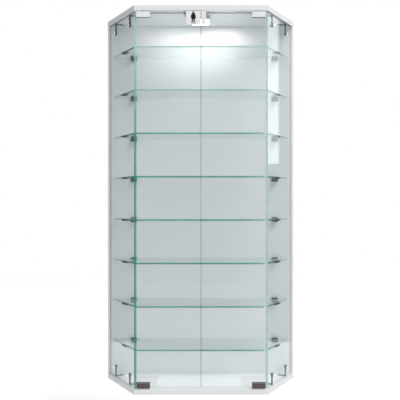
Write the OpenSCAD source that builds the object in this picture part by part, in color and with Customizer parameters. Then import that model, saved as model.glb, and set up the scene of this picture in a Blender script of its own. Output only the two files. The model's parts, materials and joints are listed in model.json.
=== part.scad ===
// Wall-hung glass display cabinet with a straight front, two slanted glass sides and two doors.
// The origin is midway between the two wall screws, on the rear face; the front faces -Y and Z is up.
// Heights inside the modules are measured up from the underside of the bottom panel.

/* [Cabinet] */
// Overall width at the wall
cab_w = 620; // [560:5:700]
// Width of the straight front edge of the panels
front_w = 410; // [360:5:440]
// Overall height
cab_h = 1190; // [1120:5:1300]
// Depth of the panels from the wall to the front edge
cab_d = 180; // [165:1:230]
// Thickness of the top and bottom panels
panel_t = 16; // [15:0.5:19]
// Thickness of the back panel
back_t = 16; // [15:0.5:19]
// Height of the wall screws below the top face
hanger_drop = 90; // [70:5:140]
// Distance between the two wall screws
hanger_spacing = 480; // [300:10:500]

/* [Side glass] */
// Thickness of the slanted side panes
side_glass_t = 5; // [4:0.5:6]
// Distance of the pane's outer face from the slanted panel edge
side_inset = 4; // [4:0.5:8]
// Distance of the pane's front end from the front corner, along the side
side_front_gap = 6; // [6:0.5:12]
// Gap between the pane's rear end and the back panel
side_rear_gap = 1; // [0.5:0.5:3]
// Distance of the front bracket from the front corner, along the side
bracket_front_at = 48; // [30:1:60]
// Distance of the rear bracket from the rear corner, along the side
bracket_rear_at = 43; // [40:1:60]
// Length of a bracket leg against the glass
bracket_leg = 38; // [34:1:50]
// Length of a bracket foot on the panel
bracket_foot = 28; // [26:1:34]
// Width of a bracket
bracket_w = 10; // [9:0.5:14]
// Thickness of a bracket
bracket_t = 2; // [1.5:0.5:3]
// Height of the glass screw above the panel
glass_screw_at = 32; // [26:0.5:33]
// Radius of the glass screw's round cap
cap_r = 6; // [5:0.5:7]
// Radius of the glass screw's shank
glass_screw_r = 2; // [1.5:0.25:2.5]

/* [Shelves] */
// Thickness of a shelf
shelf_t = 5; // [4:0.5:6]
// Distance of the shelf's front edge behind the panels' front edge
shelf_setback = 17; // [17:1:40]
// Gap between a shelf's slanted edge and the side pane
shelf_side_gap = 4; // [4:0.5:12]
// Gap between a shelf's rear edge and the back panel
shelf_rear_gap = 2.5; // [2.5:0.5:6]
// Distance of the shelf's rear side corner in front of the back panel
shelf_corner = 8; // [7:1:40]
// Height of the lowest shelf's middle above the bottom panel
lowest_shelf = 115; // [80:1:150]
// Distance of the highest shelf's middle below the top panel
highest_shelf = 105; // [90:1:150]
// Half the distance between the two rear clamps of a shelf
clamp_x = 235; // [150:1:240]
// Distance of the two rear clamps to the right of the middle
clamp_shift = 12; // [0:1:15]
// Width of a rear shelf clamp
shelf_clamp_w = 20; // [16:1:24]
// Distance of a side shelf rest from the front corner, along the side
rest_at = 92; // [70:1:130]
// Length of a side shelf rest along the pane
rest_w = 30; // [20:1:36]

/* [Doors] */
// Thickness of the door glass
door_t = 5; // [4:0.5:6]
// Distance of the door's front face behind the panels' front edge
door_setback = 3; // [3:0.5:5]
// Gap between a door pane and the top or bottom panel
door_end_gap = 5; // [5:0.5:8]
// Gap between the two doors
door_seam = 2; // [2:0.5:4]
// Distance of a door's hinge edge from the panel's front corner
door_edge_gap = 5.5; // [5.5:0.5:9]
// Distance of the pivot from the panel's front corner
pivot_inset = 15; // [14:0.5:16]
// Radius of a pivot pin
pin_r = 3; // [2.5:0.25:3.5]
// Wall of a pivot bush
bush_wall = 2; // [1.5:0.25:2.5]
// Depth of a pivot bush in its panel
bush_depth = 12; // [9:0.5:13]
// Length of a hinge clamp
clamp_l = 42; // [36:1:50]
// Height of a hinge clamp
clamp_h = 17.5; // [16:0.5:22]
// Distance of a hinge clamp's end from the door's edge
clamp_edge = 1.5; // [1:0.5:3]
// Thickness of a hinge clamp's front plate
clamp_front_t = 2; // [1.5:0.5:2.5]
// Thickness of a hinge clamp's rear plate
clamp_rear_t = 4; // [3:0.5:4]
// Thickness of the plastic liner between a clamp and the glass
liner_t = 0.5; // [0.3:0.1:0.5]
// Radius of the grub screws in the clamps
grub_r = 2; // [1.5:0.25:2]

/* [Lock] */
// Distance of the lock's middle from the seam of the doors
lock_x = 23.5; // [23:0.5:30]
// Distance of the lock's middle below the top panel
lock_drop = 9; // [9:0.25:10]
// Distance from the lock plate's side edges to the lock's middle
lock_half_w = 22.5; // [16:0.5:22.5]
// Height of the lock plates
lock_h = 41; // [36:0.5:50]
// Width of the plate on the right door
right_plate_w = 14; // [12:0.5:20]
// Radius of the lock's turning plug
plug_r = 5; // [4.5:0.25:5]
// Wall of the lock barrel around the plug
barrel_wall = 2.5; // [2:0.25:2.5]
// Reach of the cam from the lock's middle
cam_reach = 15; // [13:0.5:15]
// Width of the cam
cam_w = 9; // [7:0.5:9]
// Thickness of the key blade
blade_t = 2; // [1.6:0.1:2]
// Height of the key blade
blade_h = 7; // [5.5:0.25:7]
// Thickness of the key bow
bow_t = 2; // [2:0.2:2.4]
// Largest width of the key bow
bow_w = 16; // [13:0.5:18]
// Radius of the key ring to the middle of its wire
ring_r = 6.25; // [6:0.25:8]
// Radius of the key ring's wire
ring_wire_r = 0.8; // [0.4:0.1:0.8]

/* [Lamp] */
// Width of the lamp
lamp_w = 58; // [50:1:80]
// Depth of the lamp from front to back
lamp_d = 65; // [55:1:70]
// Height of the lamp
lamp_h = 12; // [11:0.5:16]
// Distance of the lamp behind the panels' front edge
lamp_setback = 45; // [42:1:50]
// Wall of the lamp housing
lamp_wall = 1.6; // [1.2:0.2:2.4]
// Radius of the lamp's corners
lamp_corner_r = 8; // [5:0.5:12]
// Radius of the hole for the lamp's cord
cord_hole_r = 4; // [3:0.25:5]

/* [Hidden] */
$fn = 48;

// Clearances and small overlaps used to cut through
run_clear = 0.05;
fix_clear = 0.02;
seat_gap = 0.3;
cut = 1;

// Plan of the cabinet
rear_straight = back_t;
side_run = cab_d - rear_straight;
side_angle = atan((cab_w - front_w) / 2 / side_run);
side_len = side_run / cos(side_angle);
side_inner = side_inset + side_glass_t;
side_rear_at = (side_run - side_rear_gap - side_inner * sin(side_angle)) / cos(side_angle);
inside_h = cab_h - 2 * panel_t;
z_ceiling = cab_h - panel_t;

// Panel screws, dowels and caps
panel_screw_r = 3.5;
panel_screw_len = 50;
panel_screw_head_r = 5;
panel_screw_head_h = 3.5;
panel_screw_x = [-270, -90, 90, 270];
dowel_r = 4;
dowel_len = 30;
dowel_in_panel = 10;
dowel_x = [-230, -50, 50, 230];
cap_cover_r = 7;
cap_cover_t = 1;

// Wall hangers
hanger_w = 36;
hanger_h = 58;
hanger_t = 2;
hanger_entry_r = 5;
hanger_slot_r = 2.5;
hanger_slot_rise = 12;
hanger_mid = hanger_slot_rise / 2;
hanger_pocket_d = 8;
hanger_pocket_w = 16;
hanger_pocket_h = 34;
hanger_screw_r = 1.75;
hanger_screw_head_r = 3.5;
hanger_screw_head_t = 1.4;
hanger_screw_len = 13;
hanger_screw_z = 23;
hanger_z = cab_h - hanger_drop;

// Side brackets
foot_screw_at = [12, 21];
foot_screw_r = 1.75;
foot_screw_head_r = 3.4;
foot_screw_head_top_r = 2.4;
foot_screw_head_t = 2;
foot_screw_len = 12;
washer_t = 0.8;
cap_t = 2.5;
glass_hole_r = 3;
nut_r = 4;
nut_t = 3;
thread_past_nut = 1;

// Shelves, their clamps and rests
shelf_count = 8;
shelf_pitch = (inside_h - lowest_shelf - highest_shelf) / (shelf_count - 1);
shelf_pad_t = 0.5;
shelf_pad_side = 2;
shelf_pad_end = 1;
jaw_h = 8;
jaw_l = 16;
jaw_back_t = 2;
lip_t = 1.5;
lip_l = 8;
lip_z = shelf_t + seat_gap;
jaw_screw_r = 1.75;
jaw_screw_head_r = 2.6;
jaw_screw_head_t = 2;
jaw_screw_bite = 12;
rest_t = 1.5;
rest_up = 3.5;
rest_reach = 9;
rest_pad_r = 3.5;

// Doors and hinges
door_front_y = -cab_d + door_setback;
door_back_y = door_front_y + door_t;
door_edge_x = front_w / 2 - door_edge_gap;
door_z0 = panel_t + door_end_gap;
door_z1 = cab_h - door_z0;
pivot_x = front_w / 2 - pivot_inset;
pivot_y = door_front_y + door_t / 2;
clamp_web_t = 2;
clamp_z0 = door_z0 - liner_t - clamp_web_t;
clamp_x1 = door_edge_x - clamp_edge;
clamp_x0 = clamp_x1 - clamp_l;
bush_r = pin_r + run_clear + bush_wall;
bush_flange_r = bush_r + 2;
bush_flange_t = 1;
collar_r = pin_r + 1.5;
rivet_r = pin_r - 0.5;
clamp_grub_x = 11;

// Lock and key
lock_z = z_ceiling - lock_drop;
lock_face_t = 3;
lock_top_gap = 1;
lock_z1 = z_ceiling - lock_top_gap;
lock_bridge_gap = 0.4;
lock_rear_t = 5.5;
lock_rear_h = 28;
lock_front_y = door_front_y - lock_face_t;
lock_rear_y = door_back_y + liner_t + lock_rear_t;
barrel_r = plug_r + run_clear + barrel_wall;
barrel_end_y = lock_rear_y + 8.7;
notch_gap = 0.5;
plug_head_r = plug_r + 1.5;
plug_head_t = 1.2;
plug_head_gap = 0.1;
cam_t = 2;
cam_y = barrel_end_y + seat_gap;
cam_hub_r = 6;
cam_screw_r = 1.6;
cam_screw_head_r = 3.5;
cam_screw_head_t = 2.5;
cam_screw_len = 8;
cam_slot_depth = 8;
cam_slot_side = 3;
keyway_gap = 0.1;
blade_end_gap = 2;
hinge_out = 6.5;
key_y = lock_front_y - hinge_out;
blade_neck_h = 4.4;
blade_step = 2.5;
eye_r = 2.2;
key_pin_r = 0.8;
bow_slot_gap = 0.3;
bow_slot_below = 3.2;
bow_top = hinge_out - plug_head_gap - plug_head_t - 2 * seat_gap;
bow_top_w = 6;
bow_wide_at = 11;
bow_hole_at = 19.5;
bow_hole_r = 3.2;
bow_tip_r = 4.8;
bow_tip_half_w = 3.8;
bow_tip_above = 2.9;
ring_turn = 35;
lock_grub_x = 15;
lock_grub_z = lock_z1 - lock_rear_h + 7;
right_plate_x0 = door_seam / 2;

// Magnetic catches
catch_w = 11;
catch_h = 13;
catch_d = 26;
catch_y0 = lock_rear_y + seat_gap;
magnet_r = 2.2;
magnet_l = 8;
magnet_out = 0.1;
magnet_z = z_ceiling - 7;
catch_screw_r = 1.5;
catch_screw_head_r = 3;
catch_screw_head_t = 2;
catch_screw_bite = 10;
catch_screw_back = 7;
left_catch_x = -(lock_x + lock_half_w) - 1;
right_catch_x = right_plate_x0 + right_plate_w / 2;

// Lamp
lamp_y0 = -cab_d + lamp_setback;
lamp_z0 = z_ceiling - lamp_h;
lamp_post_r = 3;
lamp_post_l = 3.8;
led_board_t = 1.6;
led_count = 3;
led_size = 5;
led_t = 1;
diffuser_t = 2;
diffuser_in = 0.2;
lamp_screw_x = 14;
lamp_screw_r = 1.5;
lamp_screw_head_r = 3;
lamp_screw_head_t = 2;
lamp_screw_bite = 9;
gland_r = 3.5;
gland_l = 6;
gland_hole_r = 2;
grommet_wall = 2;
grommet_flange = 2;
grommet_flange_t = 1;
grommet_y = -28;

white = "#f4f4f2";
steel = "#c9ccce";
dark_nickel = "#4a4d50";
glass_tint = [0.72, 0.88, 0.84, 0.45];
black = "#1c1c1e";
clear_plastic = [0.9, 0.93, 0.92, 0.6];
dark_rubber = "#2a2c2e";

function side_x(y, off) = front_w / 2 + (y + cab_d) * tan(side_angle) - off / cos(side_angle);
function shelf_mid(i) = panel_t + lowest_shelf + (i - 1) * shelf_pitch;

// Heights are turned into the part's own frame here
module placed() {
    translate([0, 0, -hanger_z])
    children();
}

module mirrored_pair() {
    children();
    mirror([1, 0, 0])
    children();
}

module both_ends() {
    children();
    translate([0, 0, cab_h])
    mirror([0, 0, 1])
    children();
}

// Local frame of the right side: X points out of the glass, Y runs back from the front corner
module on_side(at) {
    translate([front_w / 2, -cab_d, 0])
    rotate([0, 0, -side_angle])
    translate([0, at, 0])
    children();
}

module along_y(r, y0, y1) {
    translate([0, y0, 0])
    rotate([-90, 0, 0])
    cylinder(h = y1 - y0, r = r);
}

module along_x(r, x0, x1) {
    translate([x0, 0, 0])
    rotate([0, 90, 0])
    cylinder(h = x1 - x0, r = r);
}

module box(x0, x1, y0, y1, z0, z1) {
    translate([x0, y0, z0])
    cube([x1 - x0, y1 - y0, z1 - z0]);
}

module rounded_plate(w, d, h, r) {
    linear_extrude(height = h)
    union() {
        square([w - 2 * r, d], center = true);
        square([w, d - 2 * r], center = true);
        for (sx = [-1, 1], sy = [-1, 1])
            translate([sx * (w / 2 - r), sy * (d / 2 - r)])
            circle(r = r);
    }
}

// Panels

module panel_blank() {
    linear_extrude(height = panel_t)
    polygon([
        [-cab_w / 2, 0],
        [-cab_w / 2, -rear_straight],
        [-front_w / 2, -cab_d],
        [front_w / 2, -cab_d],
        [cab_w / 2, -rear_straight],
        [cab_w / 2, 0]
    ]);
}

// Holes that the bottom panel has, and the top panel mirrored
module panel_holes() {
    for (x = panel_screw_x)
        translate([x, -back_t / 2, 0]) {
            translate([0, 0, -cut])
            cylinder(h = panel_t + 2 * cut, r = panel_screw_r + fix_clear);
            translate([0, 0, -cut])
            cylinder(h = panel_screw_head_h + cut, r = panel_screw_head_r + fix_clear);
        }
    for (x = dowel_x)
        translate([x, -back_t / 2, panel_t - dowel_in_panel])
        cylinder(h = dowel_in_panel + cut, r = dowel_r + fix_clear);
    mirrored_pair()
    translate([pivot_x, pivot_y, panel_t - bush_depth])
    cylinder(h = bush_depth + cut, r = bush_r + fix_clear);
    mirrored_pair()
    for (at = [bracket_front_at, side_len - bracket_rear_at], foot = foot_screw_at)
        on_side(at)
        translate([-side_inner - foot, 0, panel_t - foot_screw_len + bracket_t])
        cylinder(h = foot_screw_len + cut, r = foot_screw_r + fix_clear);
}

module bottom_panel() {
    color(white)
    difference() {
        panel_blank();
        panel_holes();
    }
}

module top_panel() {
    color(white)
    difference() {
        translate([0, 0, z_ceiling])
        panel_blank();
        translate([0, 0, cab_h])
        mirror([0, 0, 1])
        panel_holes();
        box(-lock_x - cam_reach - cam_slot_side / 2, -lock_x + cam_w / 2 + cam_slot_side / 2,
            cam_y - cam_slot_side, cam_y + cam_t + cam_slot_side,
            z_ceiling - cut, z_ceiling + cam_slot_depth);
        translate([0, grommet_y, z_ceiling - cut])
        cylinder(h = panel_t + 2 * cut, r = cord_hole_r + grommet_wall + fix_clear);
        for (x = [-lamp_screw_x, lamp_screw_x])
            translate([x, lamp_y0 + lamp_d / 2, z_ceiling - cut])
            cylinder(h = lamp_screw_bite + 2 * cut, r = lamp_screw_r + fix_clear);
        for (x = [left_catch_x, right_catch_x])
            translate([x, catch_y0 + catch_d - catch_screw_back, z_ceiling - cut])
            cylinder(h = catch_screw_bite + 2 * cut, r = catch_screw_r + fix_clear);
    }
}

module hanger_places() {
    for (x = [-hanger_spacing / 2, hanger_spacing / 2])
        translate([x, 0, hanger_z])
        children();
}

module back_panel() {
    color(white)
    difference() {
        box(-cab_w / 2, cab_w / 2, -back_t, 0, panel_t, z_ceiling);
        both_ends() {
            for (x = panel_screw_x)
                translate([x, -back_t / 2, panel_t - cut])
                cylinder(h = panel_screw_len - panel_t + 2 * cut, r = panel_screw_r + fix_clear);
            for (x = dowel_x)
                translate([x, -back_t / 2, panel_t - cut])
                cylinder(h = dowel_len - dowel_in_panel + 2 * cut, r = dowel_r + fix_clear);
        }
        hanger_places() {
            box(-hanger_w / 2 - seat_gap, hanger_w / 2 + seat_gap, -hanger_t, cut,
                hanger_mid - hanger_h / 2, hanger_mid + hanger_h / 2);
            box(-hanger_pocket_w / 2, hanger_pocket_w / 2, -hanger_t - hanger_pocket_d, 0,
                hanger_mid - hanger_pocket_h / 2, hanger_mid + hanger_pocket_h / 2);
            for (sz = [-1, 1])
                translate([0, 0, hanger_mid + sz * hanger_screw_z])
                along_y(hanger_screw_r + fix_clear, -hanger_screw_len - cut / 2, 0);
        }
        shelf_clamp_places()
        translate([0, 0, -shelf_pad_t - jaw_h / 2])
        along_y(jaw_screw_r + fix_clear, -cut, jaw_screw_bite + cut / 2);
    }
}

module panel_screws() {
    color(steel)
    both_ends()
    for (x = panel_screw_x)
        translate([x, -back_t / 2, 0]) {
            cylinder(h = panel_screw_head_h, r = panel_screw_head_r);
            cylinder(h = panel_screw_len, r = panel_screw_r);
        }
}

module panel_dowels() {
    color("burlywood")
    both_ends()
    for (x = dowel_x)
        translate([x, -back_t / 2, panel_t - dowel_in_panel])
        cylinder(h = dowel_len, r = dowel_r);
}

module screw_caps() {
    color(white)
    both_ends()
    for (x = panel_screw_x)
        translate([x, -back_t / 2, -cap_cover_t])
        cylinder(h = cap_cover_t, r1 = cap_cover_r - cap_cover_t / 2, r2 = cap_cover_r);
}

// Keyhole plates let into the rear face of the back panel
module wall_hangers() {
    color(steel)
    hanger_places()
    difference() {
        box(-hanger_w / 2, hanger_w / 2, -hanger_t, 0,
            hanger_mid - hanger_h / 2 + seat_gap, hanger_mid + hanger_h / 2 - seat_gap);
        along_y(hanger_entry_r, -hanger_t - cut, cut);
        box(-hanger_slot_r, hanger_slot_r, -hanger_t - cut, cut, 0, hanger_slot_rise);
        translate([0, 0, hanger_slot_rise])
        along_y(hanger_slot_r, -hanger_t - cut, cut);
        for (sz = [-1, 1])
            translate([0, 0, hanger_mid + sz * hanger_screw_z]) {
                along_y(hanger_screw_r + fix_clear, -hanger_t - cut, cut);
                along_y(hanger_screw_head_r + fix_clear, -hanger_screw_head_t, cut);
            }
    }
}

module wall_hanger_screws() {
    color(steel)
    hanger_places()
    for (sz = [-1, 1])
        translate([0, 0, hanger_mid + sz * hanger_screw_z]) {
            along_y(hanger_screw_head_r, -hanger_screw_head_t, 0);
            along_y(hanger_screw_r, -hanger_screw_len, -hanger_screw_head_t);
        }
}

// Side panes and what holds them

module bracket_places() {
    both_ends()
    for (at = [bracket_front_at, side_len - bracket_rear_at])
        on_side(at)
        translate([0, 0, panel_t])
        children();
}

module right_pane() {
    difference() {
        on_side(0)
        box(-side_inner, -side_inset, side_front_gap, side_rear_at, panel_t, z_ceiling);
        bracket_places()
        translate([0, 0, glass_screw_at])
        along_x(glass_hole_r, -side_inner - cut, -side_inset + cut);
    }
}

module right_side_glass() {
    color(glass_tint)
    right_pane();
}

module left_side_glass() {
    color(glass_tint)
    mirror([1, 0, 0])
    right_pane();
}

module side_brackets() {
    color(dark_nickel)
    mirrored_pair()
    bracket_places()
    difference() {
        union() {
            box(-side_inner - bracket_t, -side_inner, -bracket_w / 2, bracket_w / 2, 0, bracket_leg);
            box(-side_inner - bracket_foot, -side_inner, -bracket_w / 2, bracket_w / 2, 0, bracket_t);
        }
        translate([0, 0, glass_screw_at])
        along_x(glass_screw_r + run_clear, -side_inner - bracket_t - cut, -side_inner + cut);
        for (foot = foot_screw_at)
            translate([-side_inner - foot, 0, -cut])
            cylinder(h = bracket_t + 2 * cut, r = foot_screw_r + fix_clear);
    }
}

module side_bracket_screws() {
    color(steel)
    mirrored_pair()
    bracket_places()
    for (foot = foot_screw_at)
        translate([-side_inner - foot, 0, bracket_t]) {
            cylinder(h = foot_screw_head_t, r1 = foot_screw_head_r, r2 = foot_screw_head_top_r);
            translate([0, 0, -foot_screw_len])
            cylinder(h = foot_screw_len, r = foot_screw_r);
        }
}

module side_glass_screws() {
    color(steel)
    mirrored_pair()
    bracket_places()
    translate([-side_inset + washer_t, 0, glass_screw_at]) {
        along_x(cap_r, 0, cap_t / 2);
        translate([cap_t / 2, 0, 0])
        rotate([0, 90, 0])
        cylinder(h = cap_t / 2, r1 = cap_r, r2 = cap_r - cap_t / 2);
        along_x(glass_screw_r, -washer_t - side_glass_t - bracket_t - nut_t - thread_past_nut, 0);
    }
}

module side_glass_washers() {
    color(clear_plastic)
    mirrored_pair()
    bracket_places()
    translate([-side_inset, 0, glass_screw_at])
    difference() {
        along_x(cap_r, 0, washer_t);
        along_x(glass_screw_r + run_clear, -cut, washer_t + cut);
    }
}

module side_glass_nuts() {
    color(steel)
    mirrored_pair()
    bracket_places()
    translate([-side_inner - bracket_t - nut_t, 0, glass_screw_at])
    difference() {
        rotate([0, 90, 0])
        cylinder(h = nut_t, r = nut_r, $fn = 6);
        along_x(glass_screw_r + fix_clear, -cut, nut_t + cut);
    }
}

// Shelves and what carries them

module shelf(i) {
    y_front = -cab_d + shelf_setback;
    y_corner = -back_t - shelf_corner;
    y_rear = -back_t - shelf_rear_gap;
    off = side_inner + shelf_side_gap;
    color(glass_tint)
    translate([0, 0, shelf_mid(i) - shelf_t / 2])
    linear_extrude(height = shelf_t)
    polygon([
        [-side_x(y_front, off), y_front],
        [side_x(y_front, off), y_front],
        [side_x(y_corner, off), y_corner],
        [side_x(y_corner, off), y_rear],
        [-side_x(y_corner, off), y_rear],
        [-side_x(y_corner, off), y_corner]
    ]);
}

// One rear clamp: a half-round jaw under the glass, a back plate and a thin lip over the glass
module shelf_clamp_places() {
    for (x = [clamp_shift - clamp_x, clamp_shift + clamp_x], i = [1 : shelf_count])
        translate([x, -back_t, shelf_mid(i) - shelf_t / 2])
        children();
}

module rear_shelf_clamps() {
    color(dark_nickel)
    shelf_clamp_places()
    difference() {
        union() {
            intersection() {
                translate([0, 0, -shelf_pad_t])
                along_y(shelf_clamp_w / 2, -jaw_l, 0);
                box(-shelf_clamp_w / 2, shelf_clamp_w / 2, -jaw_l, 0, -shelf_pad_t - jaw_h, -shelf_pad_t);
            }
            box(-shelf_clamp_w / 2, shelf_clamp_w / 2, -jaw_back_t, 0, -shelf_pad_t, lip_z + lip_t);
            box(-shelf_clamp_w / 2, shelf_clamp_w / 2, -jaw_back_t - lip_l, 0, lip_z, lip_z + lip_t);
        }
        translate([0, 0, -shelf_pad_t - jaw_h / 2]) {
            along_y(jaw_screw_r + fix_clear, -jaw_l - cut, cut);
            along_y(jaw_screw_head_r + fix_clear, -jaw_l - cut, -jaw_l + jaw_screw_head_t);
        }
    }
}

module shelf_clamp_screws() {
    color(dark_nickel)
    shelf_clamp_places()
    translate([0, 0, -shelf_pad_t - jaw_h / 2]) {
        along_y(jaw_screw_head_r, -jaw_l, -jaw_l + jaw_screw_head_t);
        along_y(jaw_screw_r, -jaw_l + jaw_screw_head_t, jaw_screw_bite);
    }
}

module shelf_clamp_pads() {
    color(clear_plastic)
    shelf_clamp_places()
    box(-shelf_clamp_w / 2 + shelf_pad_side, shelf_clamp_w / 2 - shelf_pad_side,
        -jaw_l + shelf_pad_end, -shelf_rear_gap - shelf_pad_end, -shelf_pad_t, 0);
}

module rest_places() {
    mirrored_pair()
    for (i = [1 : shelf_count])
        on_side(rest_at)
        translate([-side_inner, 0, shelf_mid(i) - shelf_t / 2 - shelf_pad_t])
        children();
}

module side_shelf_rests() {
    color(black)
    rest_places() {
        box(-rest_t, 0, -rest_w / 2, rest_w / 2, -rest_t, rest_up);
        box(-shelf_side_gap - rest_reach, 0, -rest_w / 2, rest_w / 2, -rest_t, 0);
    }
}

module side_rest_pads() {
    color(clear_plastic)
    rest_places()
    translate([-shelf_side_gap - rest_reach / 2, 0, 0])
    cylinder(h = shelf_pad_t, r = rest_pad_r);
}

// Door hinges

module hinge_bushes() {
    color(white)
    mirrored_pair()
    both_ends()
    translate([pivot_x, pivot_y, panel_t - bush_depth])
    difference() {
        union() {
            cylinder(h = bush_depth, r = bush_r);
            translate([0, 0, bush_depth])
            cylinder(h = bush_flange_t, r = bush_flange_r);
        }
        translate([0, 0, -cut])
        cylinder(h = bush_depth + bush_flange_t + 2 * cut, r = pin_r + run_clear);
    }
}

module right_pins() {
    both_ends()
    translate([pivot_x, pivot_y, 0]) {
        translate([0, 0, panel_t - bush_depth + 1])
        cylinder(h = bush_depth - 1 + bush_flange_t + seat_gap, r = pin_r);
        translate([0, 0, panel_t + bush_flange_t + seat_gap])
        cylinder(h = clamp_z0 - panel_t - bush_flange_t - seat_gap, r = collar_r);
        translate([0, 0, clamp_z0])
        cylinder(h = clamp_web_t, r = rivet_r);
    }
}

module clamp_grub_places() {
    for (sx = [-1, 1])
        translate([(clamp_x0 + clamp_x1) / 2 + sx * clamp_grub_x, 0, clamp_z0 + (clamp_web_t + clamp_h) / 2])
        children();
}

module right_clamps() {
    front_y = door_front_y - liner_t - clamp_front_t;
    rear_y = door_back_y + liner_t + clamp_rear_t;
    both_ends()
    difference() {
        box(clamp_x0, clamp_x1, front_y, rear_y, clamp_z0, clamp_z0 + clamp_h);
        box(clamp_x0 - cut, clamp_x1 + cut, door_front_y - liner_t, door_back_y + liner_t,
            clamp_z0 + clamp_web_t, clamp_z0 + clamp_h + cut);
        translate([pivot_x, pivot_y, clamp_z0 - cut])
        cylinder(h = clamp_web_t + 2 * cut, r = rivet_r + fix_clear);
        clamp_grub_places()
        along_y(grub_r + fix_clear, door_back_y + liner_t - cut / 2, rear_y + cut);
    }
}

module right_liners() {
    both_ends()
    difference() {
        box(clamp_x0, clamp_x1, door_front_y - liner_t, door_back_y + liner_t,
            door_z0 - liner_t, clamp_z0 + clamp_h);
        box(clamp_x0 - cut, clamp_x1 + cut, door_front_y, door_back_y, door_z0, clamp_z0 + clamp_h + cut);
    }
}

module right_grubs() {
    both_ends()
    clamp_grub_places()
    along_y(grub_r, door_back_y + liner_t, door_back_y + liner_t + clamp_rear_t);
}

module right_pane_door() {
    box(door_seam / 2, door_edge_x, door_front_y, door_back_y, door_z0, door_z1);
}

module right_door_glass() {
    color(glass_tint)
    right_pane_door();
}

// The left pane has a notch in its top edge, open upwards, for the lock barrel
module left_door_glass() {
    color(glass_tint)
    difference() {
        mirror([1, 0, 0])
        right_pane_door();
        translate([-lock_x, 0, lock_z])
        along_y(barrel_r + notch_gap, door_front_y - cut, door_back_y + cut);
        box(-lock_x - barrel_r - notch_gap, -lock_x + barrel_r + notch_gap,
            door_front_y - cut, door_back_y + cut, lock_z, door_z1 + cut);
    }
}

module right_door_clamps() {
    color(steel)
    right_clamps();
}

module left_door_clamps() {
    color(steel)
    mirror([1, 0, 0])
    right_clamps();
}

module right_door_liners() {
    color(dark_rubber)
    right_liners();
}

module left_door_liners() {
    color(dark_rubber)
    mirror([1, 0, 0])
    right_liners();
}

module right_door_pins() {
    color(steel)
    right_pins();
}

module left_door_pins() {
    color(steel)
    mirror([1, 0, 0])
    right_pins();
}

module right_door_grub_screws() {
    color(black)
    right_grubs();
}

module left_door_grub_screws() {
    color(black)
    mirror([1, 0, 0])
    right_grubs();
}

// Lock and key

// Hook-over plate: a face in front of the glass, a bridge over its edge and a plate behind it
module hook_plate(x0, x1) {
    box(x0, x1, lock_front_y, door_front_y, lock_z1 - lock_h, lock_z1);
    box(x0, x1, lock_front_y, lock_rear_y, door_z1 + lock_bridge_gap, lock_z1);
    box(x0, x1, door_back_y + liner_t, lock_rear_y, lock_z1 - lock_rear_h, lock_z1);
}

module at_lock() {
    translate([-lock_x, 0, lock_z])
    children();
}

module lock_grub_places() {
    for (sx = [-1, 1])
        translate([-lock_x + sx * lock_grub_x, 0, lock_grub_z])
        children();
}

module lock_housing() {
    color(steel)
    difference() {
        union() {
            hook_plate(-lock_x - lock_half_w, -lock_x + lock_half_w);
            at_lock()
            along_y(barrel_r, door_front_y - cut, barrel_end_y);
        }
        at_lock()
        along_y(plug_r + run_clear, lock_front_y - cut, barrel_end_y + cut);
        lock_grub_places()
        along_y(grub_r + fix_clear, door_back_y - cut / 2, lock_rear_y + cut);
    }
}

module lock_liner() {
    color(dark_rubber)
    box(-lock_x - lock_half_w, -lock_x + lock_half_w, door_back_y, door_back_y + liner_t,
        lock_z1 - lock_rear_h, lock_z - barrel_r - notch_gap - seat_gap);
}

module lock_grub_screws() {
    color(black)
    lock_grub_places()
    along_y(grub_r, door_back_y + liner_t, lock_rear_y);
}

module lock_plug() {
    color("silver")
    at_lock()
    difference() {
        union() {
            along_y(plug_head_r, lock_front_y - plug_head_gap - plug_head_t, lock_front_y - plug_head_gap);
            along_y(plug_r, lock_front_y - plug_head_gap - plug_head_t, cam_y);
        }
        box(-blade_t / 2 - keyway_gap, blade_t / 2 + keyway_gap,
            lock_front_y - plug_head_gap - plug_head_t - cut, cam_y - cam_screw_len,
            -blade_h / 2 - keyway_gap, blade_h / 2 + keyway_gap);
        along_y(cam_screw_r + fix_clear, cam_y - cam_screw_len - cut, cam_y + cut);
    }
}

module lock_cam() {
    color(steel)
    at_lock()
    difference() {
        union() {
            along_y(cam_hub_r, cam_y, cam_y + cam_t);
            box(-cam_reach, 0, cam_y, cam_y + cam_t, -cam_w / 2, cam_w / 2);
        }
        along_y(cam_screw_r + fix_clear, cam_y - cut, cam_y + cam_t + cut);
    }
}

module lock_cam_screw() {
    color(steel)
    at_lock() {
        along_y(cam_screw_head_r, cam_y + cam_t, cam_y + cam_t + cam_screw_head_t);
        along_y(cam_screw_r, cam_y - cam_screw_len + seat_gap, cam_y + cam_t);
    }
}

module key_blade() {
    color(steel)
    at_lock()
    difference() {
        union() {
            box(-blade_t / 2, blade_t / 2, key_y + blade_step, cam_y - cam_screw_len - blade_end_gap,
                -blade_h / 2, blade_h / 2);
            box(-blade_t / 2, blade_t / 2, key_y, key_y + blade_step + cut,
                -blade_neck_h / 2, blade_neck_h / 2);
            translate([0, key_y, 0])
            along_x(eye_r, -blade_t / 2, blade_t / 2);
        }
        translate([0, key_y, 0])
        along_x(key_pin_r + run_clear, -blade_t / 2 - cut, blade_t / 2 + cut);
    }
}

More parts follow.
